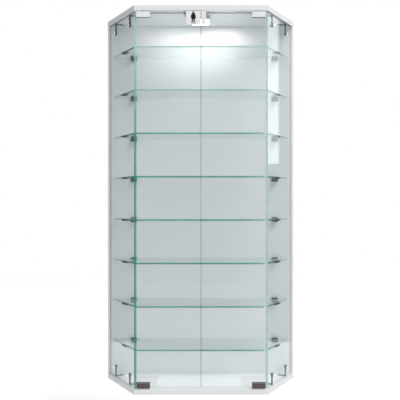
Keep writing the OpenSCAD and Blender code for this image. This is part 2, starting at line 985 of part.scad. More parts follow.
module key_bow() {
    color(black)
    at_lock()
    translate([0, key_y, 0])
    difference() {
        union() {
            translate([0, bow_t / 2, 0])
            rotate([90, 0, 0])
            linear_extrude(height = bow_t)
            union() {
                polygon([
                    [-bow_top_w / 2, bow_top],
                    [-bow_top_w / 2, 0],
                    [-bow_w / 2, -bow_wide_at],
                    [-bow_tip_half_w, -bow_hole_at + bow_tip_above],
                    [bow_tip_half_w, -bow_hole_at + bow_tip_above],
                    [bow_w / 2, -bow_wide_at],
                    [bow_top_w / 2, 0],
                    [bow_top_w / 2, bow_top]
                ]);
                translate([0, -bow_hole_at])
                circle(r = bow_tip_r);
            }
            along_x(eye_r, -bow_top_w / 2, bow_top_w / 2);
        }
        box(-blade_t / 2 - bow_slot_gap, blade_t / 2 + bow_slot_gap, -eye_r - cut, eye_r + cut,
            -bow_slot_below, bow_top + cut);
        translate([0, 0, -bow_hole_at])
        along_y(bow_hole_r, -bow_t, bow_t);
        along_x(key_pin_r + fix_clear, -bow_top_w, bow_top_w);
    }
}

module key_pin() {
    color(steel)
    at_lock()
    translate([0, key_y, 0])
    along_x(key_pin_r, -bow_top_w / 2, bow_top_w / 2);
}

module key_ring() {
    color(black)
    at_lock()
    translate([0, key_y, -bow_hole_at - ring_r])
    rotate([90, 0, ring_turn])
    rotate_extrude()
    translate([ring_r, 0])
    circle(r = ring_wire_r);
}

module right_door_plate() {
    color(steel)
    difference() {
        hook_plate(right_plate_x0, right_plate_x0 + right_plate_w);
        translate([right_catch_x, 0, lock_grub_z])
        along_y(grub_r + fix_clear, door_back_y - cut / 2, lock_rear_y + cut);
    }
}

module right_plate_screw() {
    color(black)
    translate([right_catch_x, 0, lock_grub_z])
    along_y(grub_r, door_back_y + liner_t, lock_rear_y);
}

// Magnetic catches behind the plates, under the top panel

module catch_places() {
    for (x = [left_catch_x, right_catch_x])
        translate([x, catch_y0, z_ceiling])
        children();
}

module catch_housings() {
    color(white)
    catch_places()
    difference() {
        box(-catch_w / 2, catch_w / 2, magnet_out, catch_d, -catch_h, 0);
        translate([0, 0, magnet_z - z_ceiling])
        along_y(magnet_r + fix_clear, -cut, magnet_l);
        translate([0, catch_d - catch_screw_back, -catch_h - cut])
        cylinder(h = catch_h + 2 * cut, r = catch_screw_r + fix_clear);
        translate([0, catch_d - catch_screw_back, -catch_h - cut])
        cylinder(h = catch_screw_head_t + cut, r = catch_screw_head_r + fix_clear);
    }
}

module catch_magnets() {
    color("dimgray")
    catch_places()
    translate([0, 0, magnet_z - z_ceiling])
    along_y(magnet_r, 0, magnet_l);
}

module catch_screws() {
    color(steel)
    catch_places()
    translate([0, catch_d - catch_screw_back, -catch_h]) {
        cylinder(h = catch_screw_head_t, r = catch_screw_head_r);
        cylinder(h = catch_h + catch_screw_bite, r = catch_screw_r);
    }
}

// Lamp under the top panel

module at_lamp(z) {
    translate([0, lamp_y0 + lamp_d / 2, z])
    children();
}

module lamp_housing() {
    inner_w = lamp_w - 2 * lamp_wall;
    inner_d = lamp_d - 2 * lamp_wall;
    color("gainsboro")
    difference() {
        union() {
            difference() {
                at_lamp(lamp_z0)
                rounded_plate(lamp_w, lamp_d, lamp_h, lamp_corner_r);
                at_lamp(lamp_z0 - cut)
                rounded_plate(inner_w, inner_d, lamp_h - lamp_wall + cut, lamp_corner_r - lamp_wall);
            }
            for (sx = [-1, 1], sy = [-1, 1])
                at_lamp(z_ceiling - lamp_wall - lamp_post_l)
                translate([sx * (inner_w / 2 - lamp_corner_r), sy * (inner_d / 2 - lamp_corner_r), 0])
                cylinder(h = lamp_post_l, r = lamp_post_r);
            translate([0, 0, lamp_z0 + lamp_h / 2])
            along_y(gland_r, lamp_y0 + lamp_d - lamp_wall, lamp_y0 + lamp_d + gland_l);
        }
        for (x = [-lamp_screw_x, lamp_screw_x])
            at_lamp(z_ceiling - lamp_wall - cut)
            translate([x, 0, 0])
            cylinder(h = lamp_wall + 2 * cut, r = lamp_screw_r + fix_clear);
        translate([0, 0, lamp_z0 + lamp_h / 2])
        along_y(gland_hole_r, lamp_y0 + lamp_d - lamp_wall - cut, lamp_y0 + lamp_d + gland_l + cut);
    }
}

module lamp_led_board() {
    board_w = lamp_w - 2 * lamp_wall - 2 * seat_gap;
    board_d = lamp_d - 2 * lamp_wall - 2 * seat_gap;
    color("white")
    at_lamp(z_ceiling - lamp_wall - lamp_post_l - led_board_t)
    rounded_plate(board_w, board_d, led_board_t, lamp_corner_r - lamp_wall - seat_gap);
}

module lamp_leds() {
    pitch_x = (lamp_w - 2 * lamp_wall) / (led_count + 1);
    pitch_y = (lamp_d - 2 * lamp_wall) / (led_count + 1);
    led_mid = (led_count + 1) / 2;
    color("gold")
    for (ix = [1 : led_count], iy = [1 : led_count])
        at_lamp(z_ceiling - lamp_wall - lamp_post_l - led_board_t - led_t)
        translate([(ix - led_mid) * pitch_x - led_size / 2, (iy - led_mid) * pitch_y - led_size / 2, 0])
        cube([led_size, led_size, led_t]);
}

module lamp_diffuser() {
    plate_w = lamp_w - 2 * lamp_wall - 2 * seat_gap;
    plate_d = lamp_d - 2 * lamp_wall - 2 * seat_gap;
    color("ivory")
    at_lamp(lamp_z0 + diffuser_in)
    rounded_plate(plate_w, plate_d, diffuser_t, lamp_corner_r - lamp_wall - seat_gap);
}

module lamp_screws() {
    color(steel)
    for (x = [-lamp_screw_x, lamp_screw_x])
        at_lamp(z_ceiling - lamp_wall - lamp_screw_head_t)
        translate([x, 0, 0]) {
            cylinder(h = lamp_screw_head_t, r = lamp_screw_head_r);
            cylinder(h = lamp_screw_head_t + lamp_wall + lamp_screw_bite, r = lamp_screw_r);
        }
}

module cable_grommet() {
    color(white)
    translate([0, grommet_y, z_ceiling - grommet_flange_t])
    difference() {
        union() {
            cylinder(h = grommet_flange_t, r = cord_hole_r + grommet_wall + grommet_flange);
            cylinder(h = grommet_flange_t + panel_t, r = cord_hole_r + grommet_wall);
        }
        translate([0, 0, -cut])
        cylinder(h = grommet_flange_t + panel_t + 2 * cut, r = cord_hole_r);
    }
}

placed() top_panel();
placed() bottom_panel();
placed() back_panel();
placed() panel_screws();
placed() panel_dowels();
placed() screw_caps();
placed() wall_hangers();
placed() wall_hanger_screws();
placed() left_side_glass();
placed() right_side_glass();
placed() side_brackets();
placed() side_bracket_screws();
placed() side_glass_screws();
placed() side_glass_nuts();
placed() side_glass_washers();
placed() shelf(1);  // shelf_1
placed() shelf(2);  // shelf_2
placed() shelf(3);  // shelf_3
placed() shelf(4);  // shelf_4
placed() shelf(5);  // shelf_5
placed() shelf(6);  // shelf_6
placed() shelf(7);  // shelf_7
placed() shelf(8);  // shelf_8
placed() rear_shelf_clamps();
placed() shelf_clamp_screws();
placed() shelf_clamp_pads();
placed() side_shelf_rests();
placed() side_rest_pads();
placed() hinge_bushes();
placed() left_door_glass();
placed() left_door_clamps();
placed() left_door_liners();
placed() left_door_pins();
placed() left_door_grub_screws();
placed() right_door_glass();
placed() right_door_clamps();
placed() right_door_liners();
placed() right_door_pins();
placed() right_door_grub_screws();
placed() lock_housing();
placed() lock_liner();
placed() lock_grub_screws();
placed() lock_plug();
placed() lock_cam();
placed() lock_cam_screw();
placed() key_blade();
placed() key_bow();
placed() key_pin();
placed() key_ring();
placed() right_door_plate();
placed() right_plate_screw();
placed() catch_housings();
placed() catch_magnets();
placed() catch_screws();
placed() lamp_housing();
placed() lamp_diffuser();
placed() lamp_led_board();
placed() lamp_leds();
placed() lamp_screws();
placed() cable_grommet();
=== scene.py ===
"""Looks of a wall-hung glass display cabinet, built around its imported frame.

Lengths are in metres unless a name says otherwise. The wall is at Y = 0, the doors face -Y and Z is up.
"""

import json
import math

import bmesh
import bpy
from mathutils import Matrix, Vector


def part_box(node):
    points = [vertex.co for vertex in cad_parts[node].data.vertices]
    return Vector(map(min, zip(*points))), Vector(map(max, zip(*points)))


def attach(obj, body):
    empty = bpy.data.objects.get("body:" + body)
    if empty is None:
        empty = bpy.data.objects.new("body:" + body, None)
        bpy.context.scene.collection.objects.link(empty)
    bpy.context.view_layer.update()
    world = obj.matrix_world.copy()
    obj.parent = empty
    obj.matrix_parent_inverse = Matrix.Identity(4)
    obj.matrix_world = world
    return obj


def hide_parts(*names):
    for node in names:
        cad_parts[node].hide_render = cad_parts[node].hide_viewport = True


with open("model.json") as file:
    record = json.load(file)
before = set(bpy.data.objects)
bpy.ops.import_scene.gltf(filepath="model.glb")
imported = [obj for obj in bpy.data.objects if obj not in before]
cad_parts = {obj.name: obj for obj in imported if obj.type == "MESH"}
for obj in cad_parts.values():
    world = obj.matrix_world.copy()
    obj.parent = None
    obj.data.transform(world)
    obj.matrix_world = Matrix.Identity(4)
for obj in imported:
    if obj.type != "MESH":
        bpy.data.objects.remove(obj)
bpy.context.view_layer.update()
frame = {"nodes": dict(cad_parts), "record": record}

bl_info = {
    "name": "Wall display cabinet",
    "version": (1, 0, 0),
    "blender": (4, 5, 0),
    "location": "3D View > Sidebar > Cabinet",
    "description": "Boards, panes, fittings, lock, lamp and studio of a glass display cabinet",
    "category": "Object",
}

MM = 0.001
NEAR = 0.01 * MM
SIDES = (-1, 1)
SIDE_WORDS = ("left", "right")
CROSS_SLOT = 0.9 * MM
CAM_SCREW_HOLE = 1.62 * MM
KEY_EYE = 2.2 * MM
BACK = Vector((0, MM, 0))
UP = Vector((0, 0, MM))


# Places read from the frame


def middle(box):
    return (Vector(box[0]) + Vector(box[1])) / 2


def solids_of(node, turn=None):
    """The separate solids of a CAD node, each as its lowest and highest corner, after turn if given."""
    shape = bmesh.new()
    shape.from_mesh(frame["nodes"][node].data)
    if turn:
        shape.transform(turn)
    bmesh.ops.remove_doubles(shape, verts=shape.verts, dist=1e-6)
    waiting = set(shape.verts)
    found = []
    while waiting:
        solid = [waiting.pop()]
        for vert in solid:
            near = {edge.other_vert(vert) for edge in vert.link_edges} & waiting
            waiting -= near
            solid += near
        places = [tuple(vert.co) for vert in solid]
        found.append((Vector(map(min, zip(*places))), Vector(map(max, zip(*places)))))
    shape.free()
    return sorted(found, key=lambda box: [round(value, 4) for value in (*box[0], *box[1])])


def slant_of(node):
    """Half the front width of a slanted slab, and the Y at which it reaches its full width."""
    low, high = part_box(node)
    corners = [vert.co for vert in frame["nodes"][node].data.vertices]
    front = max(co.x for co in corners if co.y < low.y + NEAR)
    return front, min(co.y for co in corners if co.x > high.x - NEAR)


def opening(name):
    """The box of a stated opening of the record."""
    for hollow in frame["record"]["physics"]["openings"]:
        if hollow["name"] == name:
            return [Vector(corner) for corner in hollow["box_m"]]
    raise RuntimeError("the record states no opening named " + name)


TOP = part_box("top_panel")
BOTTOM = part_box("bottom_panel")
MID_Z = (TOP[1].z + BOTTOM[0].z) / 2
FRONT_HALF, SIDE_END_Y = slant_of("top_panel")
CORNER = Vector((FRONT_HALF, TOP[0].y, 0))
ALONG = (Vector((TOP[1].x, SIDE_END_Y, 0)) - CORNER).normalized()
OUTWARD = Vector((ALONG.y, -ALONG.x, 0))
SIDE_PLACE = Matrix.Translation(CORNER) @ Matrix((OUTWARD, ALONG, (0, 0, 1))).transposed().to_4x4()
LOCK = middle(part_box("lock_plug"))


def mirrored(x=1, z=1):
    """Turns the right and lower half of the cabinet into another of its quarters."""
    return Matrix.Translation((0, 0, MID_Z * (1 - z))) @ Matrix.Diagonal((x, 1, z, 1))


QUARTERS = [mirrored(x, z) for x in SIDES for z in SIDES]


# Shaders


class Signal:
    """A value, colour or vector on its way between shader nodes, with plain arithmetic."""

    def __init__(self, finish, socket):
        self.finish = finish
        self.socket = socket

    def maths(self, operation, first, second):
        return self.finish.node("ShaderNodeMath", {"operation": operation}, {0: first, 1: second})

    def __add__(self, other):
        return self.maths("ADD", self, other)

    def __sub__(self, other):
        return self.maths("SUBTRACT", self, other)

    def __rsub__(self, other):
        return self.maths("SUBTRACT", other, self)

    def __mul__(self, other):
        return self.maths("MULTIPLY", self, other)

    def __pow__(self, other):
        return self.maths("POWER", self, other)

    __radd__ = __add__
    __rmul__ = __mul__

    def between(self, low, high):
        """A smooth mask that is 0 below low and 1 above high."""
        settings = {"interpolation_type": "SMOOTHSTEP"}
        return self.finish.node("ShaderNodeMapRange", settings, {0: self, 1: low, 2: high})


class Finish:
    """The shader tree of one material or world."""

    def __init__(self, name, kind="Material"):
        self.kind = kind
        self.owner = getattr(bpy.data, kind.lower() + "s").new(name)
        self.owner.use_nodes = True
        self.tree = self.owner.node_tree
        self.tree.nodes.clear()

    def node(self, kind, settings=None, sockets=None, out=0):
        """Adds a node, sets it up, fills its sockets and gives its output as a signal."""
        made = self.tree.nodes.new(kind)
        for name, value in (settings or {}).items():
            setattr(made, name, value)
        for name, value in (sockets or {}).items():
            if isinstance(value, Signal):
                self.tree.links.new(value.socket, made.inputs[name])
            else:
                made.inputs[name].default_value = value
        return Signal(self, made.outputs[out])

    def axis(self, name):
        """One of the object coordinates."""
        here = self.node("ShaderNodeTexCoord", out="Object")
        return self.node("ShaderNodeSeparateXYZ", None, {0: here}, name)

    def noise(self, scale, detail, stretch=(1, 1, 1)):
        here = self.node("ShaderNodeTexCoord", out="Object")
        place = self.node("ShaderNodeMapping", None, {"Vector": here, "Scale": stretch})
        return self.node("ShaderNodeTexNoise", None, {"Vector": place, "Scale": scale, "Detail": detail})

    def mix(self, factor, first, second, way="MIX"):
        """A mix of two colours."""
        sockets = {0: factor}
        for number, tone in ((6, first), (7, second)):
            sockets[number] = tone if isinstance(tone, Signal) else (*tone, 1)
        return self.node("ShaderNodeMix", {"data_type": "RGBA", "blend_type": way}, sockets, 2)

    def bump(self, height, depth_mm):
        sockets = {"Height": height, "Strength": 0.6, "Distance": depth_mm * MM}
        return self.node("ShaderNodeBump", None, sockets, "Normal")

    def blend(self, factor, first, second):
        """A mix of two shaders."""
        return self.node("ShaderNodeMixShader", None, {0: factor, 1: first, 2: second})

    def done(self, shader):
        """Ends the tree with a shader and gives its material or world."""
        output = self.tree.nodes.new("ShaderNodeOutput" + self.kind)
        self.tree.links.new(shader.socket, output.inputs["Surface"])
        return self.owner

    def surface(self, **sockets):
        """Ends the tree with a Principled shader, whose socket names have underscores for spaces here."""
        named = {name.replace("_", " "): value for name, value in sockets.items()}
        return self.done(self.node("ShaderNodeBsdfPrincipled", None, named))


def white_board(look, board):
    pearl = look.noise(1500, 1)
    return look.surface(
        Base_Color=look.mix(look.noise(7, 3), board * 0.97, board),
        Roughness=0.2 + 0.1 * pearl,
        Normal=look.bump(pearl, 0.03),
    )


def board_edging(look, board):
    streak = look.noise(60, 2, (1, 1, 30))
    grain = look.noise(2200, 1)
    return look.surface(
        Base_Color=look.mix(streak, board * 0.95, board * 0.985),
        Roughness=0.3 + 0.1 * grain,
        Normal=look.bump(grain + streak, 0.02),
    )


def clear_glass(look, pane):
    """A thin pane: each of its two faces mirrors a little, more at a slant, and tints what is behind."""
    facing = look.node("ShaderNodeLayerWeight", None, {"Blend": 0.5}, "Facing")
    smear = look.noise(9, 4, (1, 1, 0.4)).between(0.5, 0.8)
    through = look.node("ShaderNodeBsdfTransparent", None, {"Color": (*pane, 1)})
    gloss = {
        "Color": (0.93, 1, 0.985, 1),
        "Roughness": 0.012 + 0.03 * smear,
        "Normal": look.bump(look.noise(14, 1), 0.05),
    }
    mirror = 0.04 + 0.86 * facing ** 5 + 0.004 * smear
    return look.done(look.blend(mirror, through, look.node("ShaderNodeBsdfAnisotropic", None, gloss)))


def edge_tone(look, deep, pale):
    """A glass edge's colour, uneven along its length, paler towards the light and greener at the corners."""
    across = look.axis("X")
    near_lamp = look.axis("Z").between(TOP[0].z - 0.45, TOP[0].z - 0.08)
    far_right = across.between(0.12, 0.22)
    corner = (across * across).between(0.19 ** 2, 0.198 ** 2)
    # lit_share is painted light: edges turn paler near the cabinet's lamp and on the right, where the studio
    # light falls.
    lit_share = 0.85 * near_lamp + 0.42 * far_right + 0.55 * corner * far_right
    dim = look.mix(lit_share, deep * 0.8, pale * 0.85)
    bright = look.mix(lit_share, deep * 1.2, pale)
    colour = look.mix(look.noise(35, 3).between(0.3, 0.7), dim, bright)
    return look.mix(corner * (1 - lit_share), colour, (0.95, 1.32, 1.34), "MULTIPLY")


def ground_edge(look, deep, pale):
    """The flat of a ground glass edge."""
    grit = look.noise(2600, 1)
    return look.surface(
        Base_Color=edge_tone(look, deep, pale),
        Roughness=0.2 + 0.15 * grit,
        Normal=look.bump(grit, 0.02),
        Specular_IOR_Level=0.3,
        Alpha=0.97,
    )


def polished_arris(look, deep, pale):
    """The narrow bevels of a glass edge, a little paler than its flat: a painted highlight."""
    return look.surface(
        Base_Color=edge_tone(look, deep * 1.3, pale * 1.1),
        Roughness=0.1 + 0.1 * look.noise(50, 2),
        Specular_IOR_Level=0.3,
        Alpha=0.92,
    )


def quiet_edge(look, tone, low, high, rough, spread, alpha):
    """A glass edge in one tone: dark with painted shade where it lies against a board, and faint at the back
    of a pane.
    """
    ripple = look.noise(40, 2)
    tones = look.mix(ripple, tone * low, tone * high)
    return look.surface(Base_Color=tones, Roughness=rough + spread * ripple, Alpha=alpha)


def slanted_edge(look, dark, deep):
    """The slanted edge of a shelf: dark at the front and hardly seen at the rear."""
    ripple = look.noise(40, 2)
    to_front = 1 - look.axis("Y").between(TOP[0].y + 0.05, TOP[0].y + 0.15)
    return look.surface(
        Base_Color=look.mix(ripple, dark, deep * 0.7),
        Roughness=0.25 + 0.2 * ripple,
        Alpha=0.1 + 0.8 * to_front,
    )


def metal(look, tone, rough, spread, scratch_mm, brushed=12):
    """A metal with fine scratches, which are short along Z where it is brushed."""
    cloud = look.noise(90, 3)
    scratch = look.noise(900, 2, (1, 1, brushed))
    return look.surface(
        Base_Color=look.mix(cloud, tone * 0.93, tone),
        Metallic=1.0,
        Roughness=rough + spread * scratch + 0.5 * spread * cloud,
        Normal=look.bump(scratch, scratch_mm),
    )


def moulded(look, tone, rough, grain_scale, depth_mm, shine=0.5):
    """A moulded plastic with a fine grain."""
    grain = look.noise(grain_scale, 2)
    return look.surface(
        Base_Color=look.mix(look.noise(40, 2), tone * 0.94, tone),
        Roughness=rough + 0.12 * grain,
        Specular_IOR_Level=shine,
        Normal=look.bump(grain, depth_mm),
    )


def circuit_board(look, tone):
    track = look.noise(160, 1, (1, 6, 1)).between(0.48, 0.54)
    return look.surface(Base_Color=look.mix(track, tone, tone * 0.8), Roughness=0.35 + 0.1 * track)


def lit(look, tone, low, high, strength, scale):
    """A part that gives off light, a little unevenly."""
    cloud = look.noise(scale, 1)
    glow = look.mix(cloud, tone * low, tone * high)
    rough = 0.45 + 0.1 * cloud
    return look.surface(Base_Color=glow, Roughness=rough, Emission_Color=glow, Emission_Strength=strength)


def clear_plastic(look, tone):
    grain = look.noise(700, 2)
    return look.surface(
        Base_Color=look.mix(grain, tone * 0.92, tone),
        Roughness=0.22 + 0.15 * grain,
        Alpha=0.4 + 0.15 * grain,
    )


def wood(look, tone):
    fibre = look.noise(900, 3, (1, 1, 0.06))
    return look.surface(
        Base_Color=look.mix(fibre.between(0.3, 0.7), tone * 0.75, tone),
        Roughness=0.6 + 0.1 * fibre,
        Normal=look.bump(fibre, 0.1),
    )


# Each finish by its recipe, the names of its colours and the recipe's numbers
RECIPES = {
    "white_board": (white_board, "board"),
    "board_edging": (board_edging, "board"),
    "clear_glass": (clear_glass, "pane"),
    "ground_edge": (ground_edge, "edge_deep", "edge_pale"),
    # polished_arris is paler than the edge's flat with a painted highlight.
    "polished_arris": (polished_arris, "edge_deep", "edge_pale"),
    # shaded_edge is painted shade on glass edges under the top board.
    "shaded_edge": (quiet_edge, "edge_dark", 0.8, 1.3, 0.25, 0.2, 0.95),
    "faint_edge": (quiet_edge, "edge_pale", 0.8, 1, 0.25, 0.1, 0.22),
    "dusky_edge": (quiet_edge, "edge_dark", 1.6, 2.4, 0.3, 0.1, 0.32),
    "slanted_edge": (slanted_edge, "edge_dark", "edge_deep"),
    "dark_nickel": (metal, "dark_nickel", 0.16, 0.1, 0.006),
    "chrome_metal": (metal, "chrome", 0.02, 0.04, 0.004),
    "zinc_steel": (metal, "zinc", 0.24, 0.16, 0.012),
    "black_steel": (metal, "black_steel", 0.32, 0.18, 0.01),
    "magnet": (metal, "magnet", 0.3, 0.15, 0.01, 1),
    "white_plastic": (moulded, "white_plastic", 0.38, 2500, 0.02),
    "black_plastic": (moulded, "black_plastic", 0.42, 3200, 0.03, 0.2),
    "dark_rubber": (moulded, "rubber", 0.6, 2600, 0.03, 0.25),
    "lamp_grey": (moulded, "lamp_grey", 0.34, 1800, 0.02),
    "led_board": (circuit_board, "white_plastic"),
    "lamp_cover": (lit, "lamp_light", 0.94, 1, 5.0, 60),
    "led_chip": (lit, "led", 1, 0.9, 2.0, 300),
    "clear_plastic": (clear_plastic, "soft_clear"),
    "dowel_wood": (wood, "beech"),
}
MADE = {}


def finish(name):
    """The material of that name, made on its first use."""
    if name not in MADE:
        recipe, *values = RECIPES[name]
        colours = bpy.context.scene.cabinet_colours
        values = [Vector(getattr(colours, value)) if isinstance(value, str) else value for value in values]
        MADE[name] = recipe(Finish(name), *values)
    return MADE[name]


# Modelling


def pick(*pieces):
    """Selects only these objects, and makes the first one active."""
    bpy.ops.object.select_all(action="DESELECT")
    for piece in pieces:
        piece.select_set(True)
    bpy.context.view_layer.objects.active = pieces[0]


def primitive(name, kind, scale=(1, 1, 1), **settings):
    """Adds a primitive and moves its place, turn and scale into its mesh."""
    bpy.ops.object.select_all(action="DESELECT")
    getattr(bpy.ops.mesh, f"primitive_{kind}_add")(**settings)
    piece = bpy.context.active_object
    piece.name = name
    piece.scale = scale
    bpy.ops.object.transform_apply(location=True, rotation=True, scale=True)
    return piece


def block(name, low, high):
    return primitive(name, "cube", Vector(high) - Vector(low), size=1, location=middle((low, high)))


def rod(name, start, end, radius, sides=40):
    axis = Vector(end) - Vector(start)
    turn = axis.to_track_quat("Z", "Y").to_euler()
    ends = {"location": middle((start, end)), "rotation": turn, "depth": axis.length}
    return primitive(name, "cylinder", vertices=sides, radius=radius, **ends)


def apply_modifier(piece, kind, **settings):
    pick(piece)
    modifier = piece.modifiers.new(kind, kind)
    for name, value in settings.items():
        setattr(modifier, name, value)
    bpy.ops.object.modifier_apply(modifier=modifier.name)
    return piece


def combine(piece, tools, operation):
    for tool in tools:
        apply_modifier(piece, "BOOLEAN", operation=operation, solver="EXACT", object=tool)
        bpy.data.objects.remove(tool)
    return piece


def cut(piece, *tools):
    return combine(piece, tools, "DIFFERENCE")


def add(piece, *others):
    return combine(piece, others, "UNION")


def bevel(piece, width, segments, angle):
    """Bevels the edges that turn by more than angle degrees."""
    turn = math.radians(angle)
    return apply_modifier(
        piece, "BEVEL", width=width, segments=segments, limit_method="ANGLE", angle_limit=turn
    )


def smooth(piece):
    """Smooths the shading of small bevels and keeps that of flat faces flat."""
    pick(piece)
    bpy.ops.object.shade_smooth_by_angle(angle=math.radians(40))
    return apply_modifier(piece, "WEIGHTED_NORMAL", weight=100, keep_sharp=True)


def soften(piece, width, segments=2):
    """Rounds a piece's sharp edges and smooths the shading."""
    return smooth(bevel(piece, width, segments, 35))


def edit(piece, step, wanted=None, **settings):
    """Runs an edit-mode step on the edges that wanted accepts by their way and middle, or on everything."""
    pick(piece)
    bpy.ops.object.mode_set(mode="EDIT")
    bpy.ops.mesh.select_mode(type="EDGE" if wanted else "FACE")
    bpy.ops.mesh.select_all(action="DESELECT" if wanted else "SELECT")
    bpy.ops.object.mode_set(mode="OBJECT")
    for edge in piece.data.edges if wanted else ():
        first, second = (piece.data.vertices[number].co for number in edge.vertices)
        edge.select = bool(wanted(second - first, (first + second) / 2))
    bpy.ops.object.mode_set(mode="EDIT")
    step(**settings)
    bpy.ops.object.mode_set(mode="OBJECT")
    return piece


def trim(piece, point, normal):
    """Cuts off what lies on the far side of a plane and closes the cut."""
    plane = {"plane_co": point, "plane_no": Vector(normal).normalized()}
    return edit(piece, bpy.ops.mesh.bisect, **plane, use_fill=True, clear_outer=True)


def round_edges(piece, radius, segments, wanted):
    return edit(piece, bpy.ops.mesh.bevel, wanted, offset=radius, segments=segments, affect="EDGES")


def round_corners(piece, radius, axis, wanted=lambda at: True, segments=5):
    """Rounds the wanted edges of those that run along one axis."""
    def fits(way, at):
        return abs(way[axis]) > 0.99 * way.length and wanted(at)

    return round_edges(piece, radius, segments, fits)


def dress(piece, *names):
    """Gives a piece its materials, replacing what it has."""
    piece.data.materials.clear()
    for name in names:
        piece.data.materials.append(finish(name))
    return piece


def belongs(piece, body, node):
    """Puts a finished piece on its body, in place of its CAD node."""
    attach(piece, body)
    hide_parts(node)


def install(piece, body, node, look):
    """Dresses a piece in one finish and puts it on its body."""
    belongs(dress(piece, look), body, node)


def copied(model, name, shift):
    """A copy of the model with its own mesh, moved by a matrix."""
    mesh = model.data.copy()
    mesh.transform(shift)
    copy = bpy.data.objects.new(name, mesh)
    bpy.context.scene.collection.objects.link(copy)
    if shift.determinant() < 0:
        mesh.flip_normals()
        if mesh.has_custom_normals:
            pick(copy)
            bpy.ops.mesh.customdata_custom_splitnormals_clear()
            smooth(copy)
    return copy


def repeat(model, shifts, body, node, look):
    """A copy of the model for each matrix, in place of the solids of a node. The model itself goes."""
    dress(model, look)
    for number, shift in enumerate(shifts, 1):
        belongs(copied(model, f"{model.name}_{number}", shift), body, node)
    bpy.data.objects.remove(model)


def at_share(box, share):
    """The point at these shares of a box's width, depth and height."""
    return Vector(low + (high - low) * part for low, high, part in zip(*box, share))


def spots(node, share=(0.5, 0.5, 0.5)):
    """A shift to the point at these shares of each solid of a node."""
    return [Matrix.Translation(at_share(box, share)) for box in solids_of(node)]


def side_solids(node):
    """The solids of a node on the right half, as boxes in the frame of the right side pane."""
    boxes = solids_of(node, SIDE_PLACE.inverted())
    return [box for box in boxes if (SIDE_PLACE @ middle(box)).x > 0]


def side_spots(node, share, mirrors=QUARTERS):
    """Like spots, for fittings in the frame of the side pane, from those of one side or one quarter."""
    one_quarter = mirrors is QUARTERS
    return [
        mirror @ SIDE_PLACE @ Matrix.Translation(at_share(box, share))
        for box in side_solids(node)
        if box[0].z < MID_Z or not one_quarter
        for mirror in mirrors
    ]


def facing(axis):
    """A turn that points +Z along an axis."""
    return Vector(axis).to_track_quat("Z", "Y").to_matrix().to_4x4()


def hole(piece, start, end, radius, sides=32):
    return cut(piece, rod("hole", start, end, radius, sides))


def domed(name, radius, height, rounding):
    """A disc below the origin whose upper rim is rounded."""
    disc = rod(name, (0, 0, -height), (0, 0, 0), radius)
    return round_edges(disc, rounding, 4, lambda way, at: at.z > -1e-6)


# Screws


# Cross-head screws by node: name, body, finish, way of the head, and in millimetres the head's radius,
# height and rounding, the shank's radius and length, and the recess's width
CROSS_SCREWS = {
    "lock_cam_screw": ("cam_screw", "lock_core", "zinc_steel", (0, 1, 0), 3.5, 2.5, 0.8, 1.6, 9.7, 3.6),
    "side_bracket_screws": ("foot_screw", "carcass", "zinc_steel", (0, 0, 1), 3.4, 2, 1.1, 1.75, 12, 3.8),
    "shelf_clamp_screws": ("clamp_screw", "carcass", "dark_nickel", (0, -1, 0), 2.6, 2, 0.6, 1.75, 26, 3),
    "catch_screws": ("catch_screw", "carcass", "zinc_steel", (0, 0, -1), 3, 2, 0.5, 1.5, 21, 3.2),
    "wall_hanger_screws": (
        "hanger_screw", "carcass", "zinc_steel", (0, 1, 0), 3.5, 1.4, 0.3, 1.75, 11.6, 3.6
    ),
}
SET_SCREWS = {
    "left_door_grub_screws": "left_door",
    "right_door_grub_screws": "right_door",
    "lock_grub_screws": "left_door",
    "right_plate_screw": "right_door",
}


def cross_screw(name, *sizes_mm):
    """A screw below the origin, head up, with a cross recess."""
    radius, height, rounding, shank_radius, shank_length, recess = (size * MM for size in sizes_mm)
    piece = domed(name, radius, height, rounding)
    shank = rod("shank", (0, 0, -height - shank_length), (0, 0, -height / 2), shank_radius, 24)
    add(piece, soften(shank, shank_radius / 4))
    arm, half, deep = recess / 2, CROSS_SLOT / 2, height * 0.6
    across = block("cross_tool", (-arm, -half, -deep), (arm, half, deep))
    along = block("cross_bar", (-half, -arm, -deep), (half, arm, deep))
    return smooth(cut(piece, add(across, along)))


def make_screws():
    for node, (name, body, look, way, *sizes_mm) in CROSS_SCREWS.items():
        spots_of = side_spots if node.startswith("side") else spots
        turn = Matrix() if way == (0, 0, 1) else facing(way)
        shifts = [shift @ turn for shift in spots_of(node, [0.5 + part / 2 for part in way])]
        repeat(cross_screw(name, *sizes_mm), shifts, body, node, look)
    for node, body in SET_SCREWS.items():
        low, high = solids_of(node)[0]
        length = high.y - low.y
        piece = rod(node.removesuffix("s"), (0, -length, 0), (0, 0, 0), (high.x - low.x) / 2, 32)
        soften(piece, 0.3 * MM, segments=1)
        cut(piece, rod("socket", (0, -length / 2, 0), BACK, 1.15 * MM, 6))
        repeat(piece, spots(node, (0.5, 1, 0.5)), body, node, "black_steel")


def set_screw_hole(piece, box, sizes):
    """Drills a piece for the set screw in that box, from behind."""
    at = middle(box)
    hole(piece, (at.x, box[0].y - 0.2 * MM, at.z), (at.x, box[1].y + MM, at.z), sizes.grub_hole)


# Boards


def slanted_slab(name, node):
    """A slab with the outline of a node: straight front, slanted sides, short straight rear corners."""
    low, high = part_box(node)
    front, full_y = slant_of(node)
    slab = block(name, low, high)
    for side in SIDES:
        trim(slab, (side * front, low.y, 0), (side * (full_y - low.y), front - high.x, 0))
    return slab


def grown(box, by):
    return Vector(box[0]) - Vector((by, by, by)), Vector(box[1]) + Vector((by, by, by))


